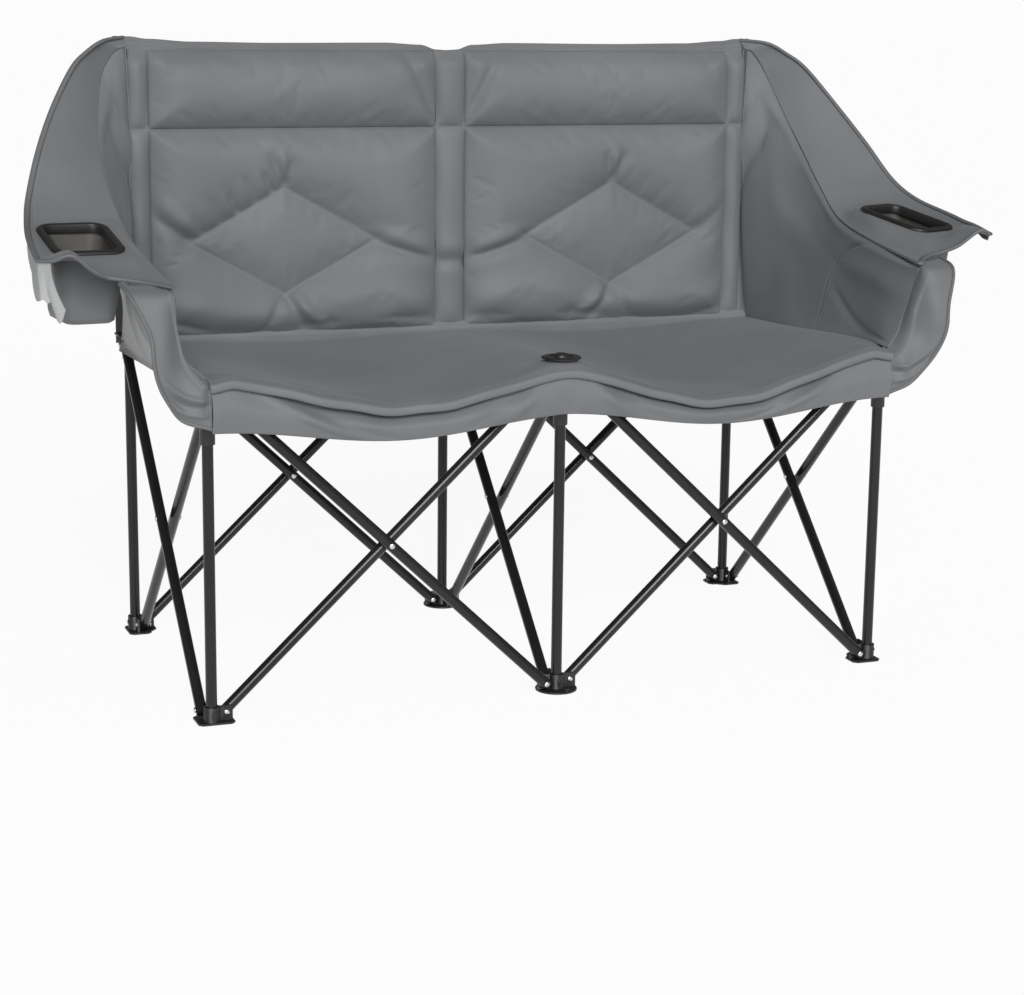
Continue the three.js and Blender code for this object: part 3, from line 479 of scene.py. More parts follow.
cloth, shader, nodes, links, place, bump = painted(
    "grey_coated_cloth", (0.135, 0.139, 0.144), 0.6, 260, 0.0003, 4, ((0.126, 0.13, 0.135), (0.146, 0.15, 0.156)),
    (0.52, 0.68))
for socket, value in (("Specular IOR Level", 0.25), ("Sheen Weight", 0.1), ("Sheen Roughness", 0.5)):
    shader.inputs[socket].default_value = value
crossed = nodes.new("ShaderNodeMath")
crossed.operation = "MAXIMUM"
for k, direction in enumerate("XZ"):
    threads = added(nodes, "ShaderNodeTexWave", Scale=320, Distortion=0.6)
    threads.bands_direction = direction
    wired(links, (place, "Object", threads, "Vector"), (threads, "Fac", crossed, k))
weave = added(nodes, "ShaderNodeBump", Strength=0.25, Distance=0.00015)
wired(links, (crossed, 0, weave, "Height"), (bump, "Normal", weave, "Normal"), (weave, "Normal", shader, "Normal"))

# Pale grey for the backs of the walls, bands and flaps of the arms: the cloth's lighter back, and also a painted
# highlight where the left flap's back shows beside the cup pocket.
pale_backing_and_painted_highlight = painted("pale_grey_backing_and_painted_highlight", (0.3, 0.305, 0.31), 0.6, 300, 0.0003, 3,
                       ((0.27, 0.275, 0.28), (0.33, 0.335, 0.34)), (0.5, 0.68))[0]
binding_tape = painted("dark_grey_binding", (0.112, 0.116, 0.12), 0.7, 900, 0.0003, 3,
                       ((0.103, 0.107, 0.111), (0.121, 0.125, 0.13)), (0.6, 0.8))[0]


def cloth_shell(name, face, across, along, thickness, under=None, backing=None):
    """A closed sheet: its outer face is face(u, v), and its inner face lies a thickness below along the normals."""
    def laid(side):
        return np.array([[side(i / across, j / along) for j in range(along + 1)] for i in range(across + 1)], float)
    grid = laid(face)
    if under:
        under = laid(under)
    else:
        way = np.cross(np.gradient(grid, axis=0), np.gradient(grid, axis=1))
        way /= np.maximum(np.linalg.norm(way, axis=2, keepdims=True), 1e-12)
        under = grid - way * thickness
    corners = np.concatenate((grid.reshape(-1, 3), under.reshape(-1, 3)))
    row, sheet = along + 1, (across + 1) * (along + 1)
    faces = []
    for a in (i * row + j for i in range(across) for j in range(along)):
        faces += [(a, a + row, a + row + 1, a + 1), (sheet + a, sheet + a + 1, sheet + a + row + 1, sheet + a + row)]
    for a in range(0, across * row, row):
        b = a + along
        faces += [(a, sheet + a, sheet + a + row, a + row), (b, b + row, sheet + b + row, sheet + b)]
    for a in range(along):
        b = across * row + a
        faces += [(a, a + 1, sheet + a + 1, sheet + a), (b, sheet + b, sheet + b + 1, b + 1)]
    sheet = make_piece(name, corners, faces, cloth, 55)
    if backing:
        sheet.data.materials.append(backing)
        for k in range(across * along):
            sheet.data.polygons[2 * k + 1].material_index = 1
    return sheet


seat_front_edge, seat_back_edge = -0.565, 0.425
seat_middle_rises = line_through(*((0, 0, rise) for rise in (0.030, 0.030, 0.018, 0.003)))
seat_side_rises = line_through(*((0, 0, rise) for rise in (0.058, 0.045, 0.024, 0.009)))
left_sag, right_sag = 0.041, 0.054


def seat_half_width(back):
    return 1.02 - 0.015 * eased(-back, 0.4, 0.56) + 0.012 * eased(back, 0.25, 0.4)


def seat_top(across, back):
    """The seat's upper face: high over the collars, low between the posts, most of all at the front."""
    depth = (back - seat_front_edge) / (seat_back_edge - seat_front_edge)
    out = abs(across)
    sag = (left_sag if across < 0 else right_sag) * arch(out ** 0.93) ** 2
    fall = mixed(1, 0.2, eased(depth, 0.35, 1)) + 0.15 * arch(depth)
    height = mixed(seat_middle_rises(depth)[2], seat_side_rises(depth)[2], out)
    hub = 0.013 * bell(across, 0, 0.09) * bell(back, -0.5, 0.07)
    corner = (0.006 * bell(out, 1, 0.1) - 0.012 * eased(out, 0.93, 1)) * bell(back, -0.52, 0.09)
    ripple = 0.0016 * math.sin(34 * across + 5 * back) * bell(back, -0.5, 0.22) * arch(out) ** 2
    roll = 0.006 * faded(depth, 0, 0.035) ** 2
    return height - sag * fall + hub + corner + ripple - roll


def seat_place(across, back):
    return at_height(across * seat_half_width(back), back, seat_top(across, back))


folded_share = 0.13  # of a sheet's width that is left when the chair is folded
middle_squash = dict(axis=(1, 0, 0), anchor=(0, 0, 0), keep=folded_share)
for name, first, last, rows, node in (("seat_front_half", seat_front_edge, -0.0003, 60, "seat_front_pad"),
                                      ("seat_rear_half", 0.0003, seat_back_edge, 40, "seat_rear_pad")):
    half = cloth_shell(name, lambda u, v: seat_place(2 * u - 1, mixed(first, last, v)), 180, rows, 0.011)
    fitted(half, node, squash=middle_squash)


def edge_tape(name, spots, width, thickness, node, material=cloth, squash=None):
    """A folded tape sewn along an edge: a flat oval swept along the places given."""
    spots = np.array(spots, float)
    ways = np.gradient(spots, axis=0)
    ways /= np.linalg.norm(ways, axis=1, keepdims=True)
    sides = 10
    corners = []
    for at, way in zip(spots, ways):
        lift = np.array((0, 0, 1), float)
        lift = lift - way * (lift @ way)
        lift /= np.linalg.norm(lift)
        side = np.cross(way, lift)
        for turn in turns(sides):
            corners.append(at + lift * math.sin(turn) * thickness / 2 + side * math.cos(turn) * width / 2)
    tape = make_piece(name, corners, skin(range(len(spots) - 1), sides) + ring_ends(len(spots), sides), material, 70)
    return fitted(tape, node, stands_for_it=False, squash=squash)


front_edge = [seat_place(2 * k / 160 - 1, seat_front_edge) - (0, 0, 0.005) for k in range(161)]
edge_tape("seat_front_hem", front_edge, 0.006, 0.013, "seat_front_pad", squash=middle_squash)

# Seat eyelet: a black plastic ring with a domed cap, screwed through the seat to the front middle collar.
profile = [(0.0285, 0.0), (0.0288, 0.0016), (0.0272, 0.003), (0.0215, 0.0035), (0.0185, 0.0028), (0.0172, 0.0012),
           (0.0145, 0.0010), (0.0118, 0.0022), (0.0108, 0.0058), (0.0088, 0.0072), (0.0048, 0.0076), (0.0040, 0.0066),
           (0.0, 0.0066)]
eyelet_spot = at_height(0, -0.5, seat_top(0, -0.5) - 0.0004)
sides = 48
corners = [eyelet_spot + (radius * math.cos(turn), radius * math.sin(turn), height) for radius, height in profile[:-1]
           for turn in turns(sides)]
faces = skin(range(len(profile) - 2), sides) + ring_ends(len(profile) - 1, sides)
fitted(make_piece("seat_eyelet", corners, faces, moulded_plastic, 50), "seat_grommet")

# Skirt: the valance of the same cloth that hangs below the seat's front edge from arm to arm. It hangs free of
# the sagging seat between the posts and is drawn in where it is sewn to the collars.
def skirt_face(u, v):
    across = 2 * u - 1
    out = abs(across)
    between = arch(out) ** 2
    top = seat_top(across, seat_front_edge + 0.02) - 0.010
    foot = mixed(0.4205, 0.397 if across < 0 else 0.3945, arch(out ** 0.95) ** 2)
    back = -0.561 + mixed(0.008, 0.04, between ** 0.5) * faded(v, 0.08, 0.62) - 0.008 * arch(v)
    back += 0.010 * bell(out, 0, 0.05) * eased(v, 0.1, 0.6)
    fold = bell(out, 0.9 - 0.3 * v, 0.035) - 0.6 * bell(out, 0.82 - 0.3 * v, 0.05)
    fold += 0.8 * bell(out, 0.06 + 0.12 * v, 0.025) - 0.5 * bell(out, 0.12 + 0.16 * v, 0.035)
    back -= 0.010 * fold * arch(v) ** 0.7
    return at_height(across, back, mixed(top, foot, v))


skirt = cloth_shell("front_skirt_cloth", skirt_face, 200, 24, 0.0022)
fitted(skirt, "front_skirt", squash=middle_squash)
skirt_hem = edge_tape("skirt_hem", [skirt_face(k / 160, 1) for k in range(161)], 0.0042, 0.006, "front_skirt",
                      squash=middle_squash)

# Back: two tall padded panels with a headrest roll above each, quilted with a stitched diamond, and narrow
# unpadded strips between and beside them. The foam is thin, so the cloth puckers at every seam.
back_face = 0.236 + row_shift  # the plane that the panels are sewn to
diamond_out, diamond_up = 0.534 * post_spacing, seat_level + 0.328 * (back_top - seat_level)
half_out, half_up = 0.29 * post_spacing, 0.18 * (back_top - seat_level)
inner_seam, outer_seam = 0.0465 * post_spacing, 0.9385 * post_spacing
headrest_seam, headrest_top, seam_gap = 0.796, 0.9155, 0.0004
diamond_cells = 28  # along half of its width and half of its height


def puffed(piece, sewn, frames=14, cap=0.012):
    """Blows a panel up between its seams with Cloth, and keeps the shape it comes to, within the cap."""
    held = piece.vertex_groups.new(name="sewn")
    held.add([int(k) for k in sewn], 1.0, "REPLACE")
    before = np.array([v.co for v in piece.data.vertices])
    cloth_work = piece.modifiers.new("puffing", "CLOTH")
    work = cloth_work.settings
    for setting, value in dict(
            quality=5, mass=0.15, tension_stiffness=14, compression_stiffness=14, shear_stiffness=8,
            bending_stiffness=1.5, tension_damping=12, compression_damping=12, shear_damping=12,
            vertex_group_mass="sewn", pin_stiffness=1, use_pressure=True, uniform_pressure_force=3.0,
            shrink_min=-0.004).items():
        setattr(work, setting, value)
    work.effector_weights.gravity = 0
    cloth_work.collision_settings.use_collision = False
    cloth_work.point_cache.frame_start, cloth_work.point_cache.frame_end = 1, frames
    for step in range(1, frames + 1):
        bpy.context.scene.frame_set(step)
    shaped = piece.evaluated_get(bpy.context.evaluated_depsgraph_get())
    after = np.array([v.co for v in shaped.data.vertices])
    piece.modifiers.clear()
    bpy.context.scene.frame_set(1)
    moved = after - before
    far = np.linalg.norm(moved, axis=1, keepdims=True)
    moved *= np.minimum(1, cap / np.maximum(far, 1e-9))
    piece.data.vertices.foreach_set("co", (before + moved).astype(np.float32).ravel())
    piece.data.update()
    piece.vertex_groups.clear()


def from_diamond(x, z):
    """The distance from a place to the stitched diamond, less than nothing inside it."""
    x, z = abs(x - diamond_out), abs(z - diamond_up)
    share = min(max(((half_out - x) * half_out + z * half_up) / (half_out ** 2 + half_up ** 2), 0), 1)
    away = math.hypot(x - half_out * (1 - share), z - half_up * share)
    return away if x / half_out + z / half_up > 1 else -away


def crease(x, z, start, finish, width, fade=0.25):
    """How near a place is to a fold that runs between two others and fades out at both its ends."""
    start, finish = np.array(start), np.array(finish)
    way = finish - start
    length = math.hypot(*way)
    along = ((x - start[0]) * way[0] + (z - start[1]) * way[1]) / length ** 2
    aside = ((x - start[0]) * way[1] - (z - start[1]) * way[0]) / length
    return bell(aside, 0, width) * eased(along, -fade, fade) * faded(along, 1 - fade, 1 + fade)


def pinched(x, z, start, finish, depth, width):
    """A fold pulled tight at its start: a valley with a softer ridge on its upper side."""
    lift = np.array((0, 1.9 * width))
    valley = crease(x, z, start, finish, width)
    return depth * (0.6 * crease(x, z, start + lift, finish + lift, 1.5 * width) - valley)


def panel_folds(x, z, side):
    """The folds that the stitched diamond pulls in a panel. x runs from the middle out to either side."""
    inner, outer, top, foot = (np.array((diamond_out + out, diamond_up + up)) for out, up in (
        (-half_out, 0), (half_out, 0), (0, half_up), (0, -half_up)))
    pull = 1 if side < 0 else 0.45
    rise = pinched(x, z, outer, (outer_seam, diamond_up + 0.047), 0.0085 * pull, 0.011)
    rise += pinched(x, z, inner - (0.006, 0.008), (inner_seam, diamond_up - 0.038), 0.0085, 0.0095)
    rise += pinched(x, z, foot, foot + (-0.036, -0.056), 0.0075, 0.0085)
    for corner, start, finish, height, width in (
            (foot, (-0.02, -0.014), (-0.062, -0.05), 0.0045, 0.011),
            (foot, (0.008, -0.006), (0.03, -0.05), -0.0045, 0.009),
            (top, (0, 0), (0.023, 0.048), -0.0055, 0.0075), (top, (0, 0), (-0.012, 0.044), -0.005, 0.0075),
            (top, (0, 0), (0.004, 0.055), 0.004, 0.0085)):
        rise += height * crease(x, z, corner + start, corner + finish, width)
    for k in range(5):
        start = mixed(outer, top, (k + 0.75) / 5.4)
        depth = (0.0052 if side < 0 else 0.0009) * (0.8, 0.6, 1.1, 0.7, 1.1)[k]
        rise -= depth * crease(x, z, start, start + (0.019, 0.033 + 0.008 * (k % 2)), 0.0058)
        rise += 0.5 * depth * crease(x, z, start + (0.009, 0.002), start + (0.026, 0.033), 0.006)
    swag = 0.488 + 0.012 * math.sin(math.pi * (x - inner_seam) / (outer_seam - inner_seam) * (2.4 if side < 0 else 2.1))
    rise += 0.010 * bell(z, swag + 0.03, 0.02) * (1 - 0.6 * bell(x, diamond_out - 0.03, 0.05))
    rise -= 0.006 * bell(z, swag, 0.009)
    return rise


def back_lean(z):
    """How far the back's face leans away towards the ridge along its top."""
    return 0.009 * eased(z, 0.892, headrest_top)


def back_panel(name, side, low, high, crown, node, quilted):
    """A padded panel: a front sheet puffed between its seams, closed behind by the sheet it is sewn to."""
    step_out, step_up = half_out / diamond_cells, half_up / diamond_cells
    outs = np.unique(np.concatenate(([inner_seam, outer_seam], np.arange(
        diamond_out - step_out * int((diamond_out - inner_seam - step_out / 2) / step_out),
        outer_seam - step_out / 2, step_out))))
    if quilted:
        ups = np.unique(np.concatenate(([low, high], np.arange(
            diamond_up - step_up * int((diamond_up - low - step_up / 2) / step_up), high - step_up / 2, step_up))))
    else:
        ups = np.linspace(low, high, int((high - low) / 0.0042) + 1)
    corners, sewn = [], []
    for i, x in enumerate(outs):
        for j, z in enumerate(ups):
            rim = max(min((x - inner_seam) * 0.8, (outer_seam - x) * 0.8, (z - low), (high - z)), 0)
            rise = crown * filled(rim, 0.02)
            if quilted:
                away = from_diamond(x, z)
                level, reach = (1.0, 0.02) if away > 0 else (0.5, 0.01)
                rise *= 0.2 + (level - 0.2) * filled(abs(away), reach)
                rise += panel_folds(x, z, side) * filled(rim, 0.012) * (
                    eased(away, -0.002, 0.008) if away > -0.002 else 0)
                seam = abs(away) < 0.0006
            else:
                seam = False
                rise -= 0.007 * crease(x, z, (inner_seam + 0.052, high - 0.004), (inner_seam + 0.006, low + 0.016),
                                       0.009)
                rise -= 0.003 * crease(x, z, (outer_seam - 0.05, high - 0.004), (outer_seam - 0.008, low + 0.02), 0.012)
                rise += 0.0005 * math.sin(31 * x + 3 * side) * filled(rim, 0.01)
            if i in (0, len(outs) - 1) or j in (0, len(ups) - 1) or seam:
                sewn.append(len(corners))
            corners.append((side * x, back_face - 0.006 - rise + back_lean(z), z))
    row = len(ups)
    faces = [(a, a + row, a + row + 1, a + 1) if side > 0 else (a, a + 1, a + row + 1, a + row)
             for a in (i * row + j for i in range(len(outs) - 1) for j in range(row - 1))]
    mesh = bpy.data.meshes.new(name)
    mesh.from_pydata(corners, [], faces)
    panel = shown(name, mesh)
    puffed(panel, sewn)
    sheet, lines = len(corners), len(outs)
    closed = [tuple(v.co) for v in mesh.vertices]
    closed += [(x, back_face - 0.0004 + back_lean(z), z) for x, _, z in corners]
    faces += [tuple(sheet + k for k in reversed(face)) for face in faces]
    rim = ([i * row for i in range(lines)] + [(lines - 1) * row + j for j in range(1, row)] +
           [i * row + row - 1 for i in range(lines - 2, -1, -1)] + list(range(row - 2, 0, -1)))
    faces += [(b, a, sheet + a, sheet + b) for a, b in zip(rim, rim[1:] + rim[:1])]
    mesh.clear_geometry()
    mesh.from_pydata(closed, [], faces)
    mesh.materials.append(cloth)
    turned_out(mesh)
    finer = panel.modifiers.new("finer", "SUBSURF")
    finer.levels = finer.render_levels = 1
    settle(panel)
    panel.data.shade_smooth()
    panel.data.set_sharp_from_angle(angle=math.radians(60))
    fitted(panel, node, squash=middle_squash)


for side, name in hands:
    back_panel(f"{name}_back_panel", side, 0.474, headrest_seam - seam_gap, 0.024, f"{name}_back_pad", True)
    back_panel(f"{name}_headrest_roll", side, headrest_seam + seam_gap, headrest_top, 0.022, f"{name}_headrest", False)

# Back cover: the flat rear sheet and the strips in front of the uprights, all sewn to one ridge along the top,
# which dips over the middle upright and rises to both corners.
cover_end = 1.03  # in post spacings from the middle, as the ridge's heights are
ridge_heights = [(0, 0.915), (0.035, 0.916), (0.085, 0.9235), (0.2, 0.9265), (0.55, 0.9255), (0.8, 0.927),
                 (0.93, 0.931), (0.985, 0.9345), (cover_end, 0.935)]


def ridge_top(out):
    out = abs(out)
    for (a, low), (b, high) in zip(ridge_heights, ridge_heights[1:]):
        if out <= b:
            return mixed(low, high, eased(out, a, b))
    return ridge_heights[-1][1]


uprights_row = post_spacing / 2 + row_shift


def rear_face(u, v):
    """From the front seam of the ridge, over the top and down the rear."""
    out = (2 * u - 1) * cover_end
    top = ridge_top(out)
    if v < 0.12:
        share = v / 0.12
        y, z = mixed(back_face + 0.002, uprights_row - 0.006, share), mixed(0.9025, top - 0.002, share ** 0.8)
    elif v < 0.2:
        share = (v - 0.12) / 0.08
        y = uprights_row - 0.006 * math.cos(math.pi * share)
        z = top - 0.002 + 0.002 * arch(share)
    else:
        share = (v - 0.2) / 0.8
        z = mixed(top - 0.002, 0.462, share)
        y = uprights_row + 0.006 + 0.0175 * eased(share, 0, 0.16)
        posts = max(bell(out, 0, 0.03), bell(abs(out), 1, 0.03))
        y += 0.0015 * posts - 0.004 * arch(share) * (1 - posts) * arch(min(abs(out), 1)) ** 2
        y += 0.0012 * math.sin(9 * out + 14 * share) * arch(share)
    return np.array((out * post_spacing, y, z))


cover = cloth_shell("back_cover_cloth", rear_face, 160, 80, 0.0022)
fitted(cover, "back_cover", squash=middle_squash)


def back_strip(name, low_out, high_out, low, high):
    """A narrow strip between two seams, slightly proud in its middle and puckered at its ends."""
    def face(u, v):
        out, z = mixed(low_out, high_out, u), mixed(low, high, v)
        rim = min(u, 1 - u) * abs(high_out - low_out) * post_spacing
        end = min(v, 1 - v) * (high - low)
        rise = 0.011 * filled(rim, 0.008) * filled(end, 0.012)
        rise += 0.0014 * math.sin(55 * z + 9 * out) * filled(rim, 0.008) * filled(end, 0.03)
        rise -= 0.006 * bell(z, 0.582, 0.011) - 0.003 * bell(z, 0.607, 0.014) if abs(low_out) < 0.1 else 0
        return np.array((out * post_spacing, back_face - 0.004 - rise + back_lean(z), z))
    strip = cloth_shell(name, face, 18, max(12, int((high - low) / 0.004)), 0.003)
    fitted(strip, "back_cover", stands_for_it=False, squash=middle_squash)


for name, low_out, high_out, cut_width, cut_area in (
        ("left_side", -1.0, -0.9378, 0.040, 0.0387), ("middle", -0.0472, 0.0472, 0.058, 0.0562),
        ("right_side", 0.9378, 1.0, 0.040, 0.0387)):
    back_strip(f"{name}_lower_strip", low_out, high_out, 0.475, headrest_seam - seam_gap)
    back_strip(f"{name}_upper_strip", low_out, high_out, headrest_seam + seam_gap, headrest_top)


seam_allowance = cloth_shell("headrest_seam_cloth", lambda u, v: np.array((
    mixed(-0.998, 0.998, u) * post_spacing, back_face - 0.0047, headrest_seam + mixed(-0.0055, 0.0055, v))), 4, 2,
    0.0015)
fitted(seam_allowance, "back_cover", stands_for_it=False, squash=middle_squash)


def tail_face(u, v):
    """The panels' lower edge, which runs on down behind the seat's rear edge."""
    out = mixed(-1.028, 1.028, u)
    y = mixed(back_face - 0.006, 0.2358, eased(v, 0, 0.35)) + 0.0011 * math.sin(31 * out) * v
    return np.array((out * post_spacing, y, mixed(0.483, 0.4525, v)))


tail = cloth_shell("back_tail_cloth", tail_face, 160, 14, 0.0018)
fitted(tail, "back_cover", stands_for_it=False, squash=middle_squash)

top_tape = [np.array((out * post_spacing, uprights_row - 0.0065, ridge_top(out) - 0.0045))
            for out in (mixed(-cover_end, cover_end, k / 200) for k in range(201))]
top_binding = edge_tape("back_top_binding", top_tape, 0.0035, 0.012, "back_cover", binding_tape, middle_squash)

# Arms: each arm is a broad wing of cloth that falls from the back's top corner to the cup holder, a padded side
# wall below it, and a band that wraps the front around the arm rod. Bound edges run from corner to corner.
wing_seam = line_through((1.0, 0.455, 0.968), (1.03, 0.455, 0.955), (1.06, 0.45, 0.911), (1.08, 0.43, 0.855),
                         (1.108, 0.348, 0.722), (1.12, 0.26, 0.622), (1.115, 0.12, 0.505), (1.102, -0.033, 0.413),
                         (1.094, -0.25, 0.364), (1.092, -0.551, 0.32))
wing_edge = line_through((1.0, 0.49, 0.996), (1.071, 0.43, 0.985), (1.125, 0.402, 0.95), (1.175, 0.362, 0.9),
                         (1.247, 0.286, 0.777), (1.306, 0.192, 0.651), (1.352, 0.089, 0.527), (1.378, -0.03, 0.467),
                         (1.404, -0.22, 0.43), (1.412, -0.4, 0.389))
arm_front = line_through((1.092, -0.551, 0.32), (1.156, -0.465, 0.328), (1.231, -0.43, 0.338),
                         (1.276, -0.448, 0.359), (1.335, -0.465, 0.409), (1.38, -0.445, 0.394),
                         (1.412, -0.4, 0.389))
ring_middle = placed_at(1.26, -0.17, 0.418)
ring_tilt = math.radians(13)
ring_turns = {-1: math.radians(4), 1: math.radians(25)}
ring_width, ring_length = 0.104, 0.132


def in_ring(point, side):
    """A place on the right arm in the ring's own plan, and the height of the ring's plane above it."""
    turn = ring_turns[side] * side
    dx, dy = point[0] - ring_middle[0], point[1] - ring_middle[1]
    x, y = dx * math.cos(turn) + dy * math.sin(turn), dy * math.cos(turn) - dx * math.sin(turn)
    return x, y, ring_middle[2] + y * math.tan(ring_tilt)


def in_holder(x, y, z, side, follow):
    """A place given in a cup holder's own frame. follow is "ring" for a part that tilts with the ring as a whole, or
    the share of the ring's tilt that the heights of an upright part follow."""
    turn = ring_turns[side]
    cx, cy, cz = side * ring_middle[0], ring_middle[1], ring_middle[2]
    if follow == "ring":
        y, z = y * math.cos(ring_tilt) - z * math.sin(ring_tilt), y * math.sin(ring_tilt) + z * math.cos(ring_tilt)
    else:
        z += follow * y * math.tan(ring_tilt)
    return np.array((cx + x * math.cos(turn) - y * math.sin(turn), cy + x * math.sin(turn) + y * math.cos(turn),
                     cz + z))


def wing_point(u, v, side):
    straight = wing_seam(u) + (wing_edge(u) - wing_seam(u)) * v
    straight = straight + (arm_front(v) - (wing_seam(1) + (wing_edge(1) - wing_seam(1)) * v)) * eased(u, 0.86, 1)
    straight[2] += 0.010 * arch(v) * eased(u, 0.05, 0.3) * faded(u, 0.5, 0.8)
    x, y, plane = in_ring(straight, side)
    away = max(abs(x) - ring_width / 2, abs(y) - ring_length / 2)
    level = faded(away, 0.0, 0.045) * (1 - 0.85 * eased(v, 0.88, 1)) * eased(v, 0.0, 0.16)
    straight[2] = mixed(straight[2], plane - 0.0006, level)
    return straight


def to_side(point, side):
    return np.array((point[0] * side, point[1], point[2]))


def rounded_oblong(width, corner, steps=8):
    points, length = [], width + ring_length - ring_width
    for quarter in range(4):
        cx, cy = ((1, 1), (-1, 1), (-1, -1), (1, -1))[quarter]
        for step in range(steps + 1):
            turn = math.pi / 2 * (quarter + step / steps)
            points.append((cx * (width / 2 - corner) + corner * math.cos(turn),
                           cy * (length / 2 - corner) + corner * math.sin(turn)))
    return points


arm_squash = {side: dict(axis=(side * 0.1, -0.995, 0), anchor=(side * post_spacing, 0.2445 + row_shift, 0.5),
                         keep=folded_share) for side in (-1, 1)}


def lofted(name, loops, material, closed_ends=True, angle=45):
    """A body skinned over closed loops of places, with its first and last loops filled or joined to each other."""
    count = len(loops[0])
    corners = [point for loop in loops for point in loop]
    faces = skin(range(len(loops) - 1), count)
    faces += ring_ends(len(loops), count) if closed_ends else ring_join(len(loops), count)
    return make_piece(name, corners, faces, material, angle)


for side, name in hands:
    node = f"{name}_wing"
    wing = cloth_shell(f"{name}_wing_cloth", lambda u, v: to_side(wing_point(u, v, side), side), 150, 60,
                       0.0035 * side)
    opening = [[in_holder(x, y, height, side, 1) for x, y in rounded_oblong(ring_width - 0.012, 0.022)]
               for height in (-0.05, 0.05)]
    punch = lofted("punch", opening, cloth)
    cutting = wing.modifiers.new("ring_hole", "BOOLEAN")
    cutting.operation, cutting.object, cutting.solver = "DIFFERENCE", punch, "EXACT"
    settle(wing)
    bpy.data.objects.remove(punch)
    fitted(wing, node, squash=arm_squash[side])
    bound = [to_side(wing_point(k / 140, 1, side), side) for k in range(141)]
    bound += [to_side(wing_point(1, 1 - k / 50, side), side) for k in range(1, 51)]
    binding = edge_tape(f"{name}_wing_binding", bound, 0.009, 0.0055, node, binding_tape, arm_squash[side])

# Side walls: a thin padded panel between the seat and the wing's seam on each side. Its front third is a second
# piece of cloth, sewn over the first along a slanting double seam.
wall_foot = line_through((1.035, 0.43, 0.009), (1.034, 0.2, 0.016), (1.034, 0, 0.022), (1.034, -0.25, 0.028),
                         (1.032, -0.42, 0.036), (1.004, -0.534, 0.05))
wall_back = line_through((1.035, 0.43, 0.009), (1.02, 0.447, 0.06), (1.003, 0.4533, 0.417),
                         (0.991, 0.4533, 0.663), (1.0, 0.4533, 0.961))
band_fold = line_through((1.004, -0.534, 0.05), (1.022, -0.522, 0.066), (1.047, -0.51, 0.091),
                         (1.067, -0.496, 0.128), (1.078, -0.498, 0.171), (1.084, -0.508, 0.219),
                         (1.091, -0.523, 0.267), (1.092, -0.54, 0.3))


def under_wing(u):
    """The wall's upper edge, tucked up behind the wing near the back's corner and hanging just below it in front."""
    return wing_seam(u) + mixed(np.array((0, 0.0035, 0.003)), np.array((0, 0, -0.0045)), eased(u, 0.26, 0.55))


def wall_head(u):
    head = under_wing(u) + (wall_back(1) - under_wing(0)) * faded(u, 0, 0.06)
    return head + (band_fold(1) - under_wing(1)) * eased(u, 0.9, 1)


def wall_seam(v):
    return mixed(0.396, 0.9, v)


def wall_face(u, v):
    """The wall's inner face, stretched between its four edges, with the soft folds that it hangs in."""
    place = mixed(wall_foot(u), wall_head(u), v) + mixed(wall_back(v), band_fold(v), u)
    place = place - mixed(mixed(wall_foot(0), wall_foot(1), u), mixed(wall_head(0), wall_head(1), u), v)
    place[2] -= 0.014 * faded(u, 0.76, 0.9) * (1 - v) ** 6
    rim = min(1, min(u, 1 - u, v, 1 - v) / 0.07)
    full = 1 - (1 - rim) ** 2
    beside = u - wall_seam(v)
    inward = 0.005 * full + 0.0022 * full * eased(beside, -0.002, 0.004)
    inward -= 0.0035 * bell(beside, 0, 0.007) * min(1, 8 * v, 8 * (1 - v))
    for height, start, slope, width, fade in ((-0.005, 0.56, 0.85, 0.045, 0.3), (0.005, 0.67, 0.8, 0.06, 0.3),
                                              (0.004, 0.42, 0.35, 0.1, 0.4), (-0.003, 0.2, 0.5, 0.06, 0.4)):
        inward += height * full * bell(v - start - slope * u, 0, width) * faded(u, fade, fade + 0.2)
    inward += 0.0035 * full * eased(beside, 0, 0.1) * bell(v - 0.95 + 0.25 * u, 0, 0.12)
    inward -= 0.003 * full * eased(beside, 0, 0.1) * bell(v - 0.1 - 0.9 * (1 - u), 0, 0.05)
    place[0] -= inward
    return place


def wall_outside(u, v):
    place = wall_face(u, v)
    corner = faded(u, 0.15, 0.4) * eased(v, 0.45, 0.8)
    place[1] += 0.004 * corner
    place[0] += mixed(0.005, 0.0, corner) + 0.014 * arch(v) * arch(min(1, u * 1.15)) * (1 - corner)
    place[0] += 0.003 * math.sin(9 * u + 5 * v) * arch(v) * arch(u) * (1 - corner)
    return place


def gusset_face(u, v):
    """The strip that joins the wall's rear edge to the back, folded into a deep crease."""
    wall_edge = wall_back(v) + (0.0012, -0.009, 0)
    back_edge = np.array((0.996 * post_spacing, back_face - 0.0025, wall_edge[2]))
    place = mixed(back_edge, wall_edge, u)
    return place + (0, 0.007 * arch(u), 0)


# Arm bands: the cloth that wraps each arm rod, from the skirt's end up under the arm's front edge. It folds back
# crisply along its inner edge, and its lower end is drawn into pleats at the corner post.
skirt_end = 1.0006
skirt_corner = placed_at(skirt_end, -0.553, 0.034)
band_inner = line_through((skirt_end, -0.559, 0.024), (1.03, -0.545, 0.06), (1.062, -0.525, 0.111),
                          (1.075, -0.522, 0.167), (1.085, -0.53, 0.222), (1.092, -0.552, 0.295), (1.104, -0.5, 0.316))
band_outer = line_through((skirt_end, -0.559, -0.094), (1.08, -0.551, -0.061), (1.13, -0.575, 0.011),
                          (1.155, -0.6, 0.111), (1.172, -0.593, 0.2), (1.2, -0.545, 0.295), (1.218, -0.455, 0.322))


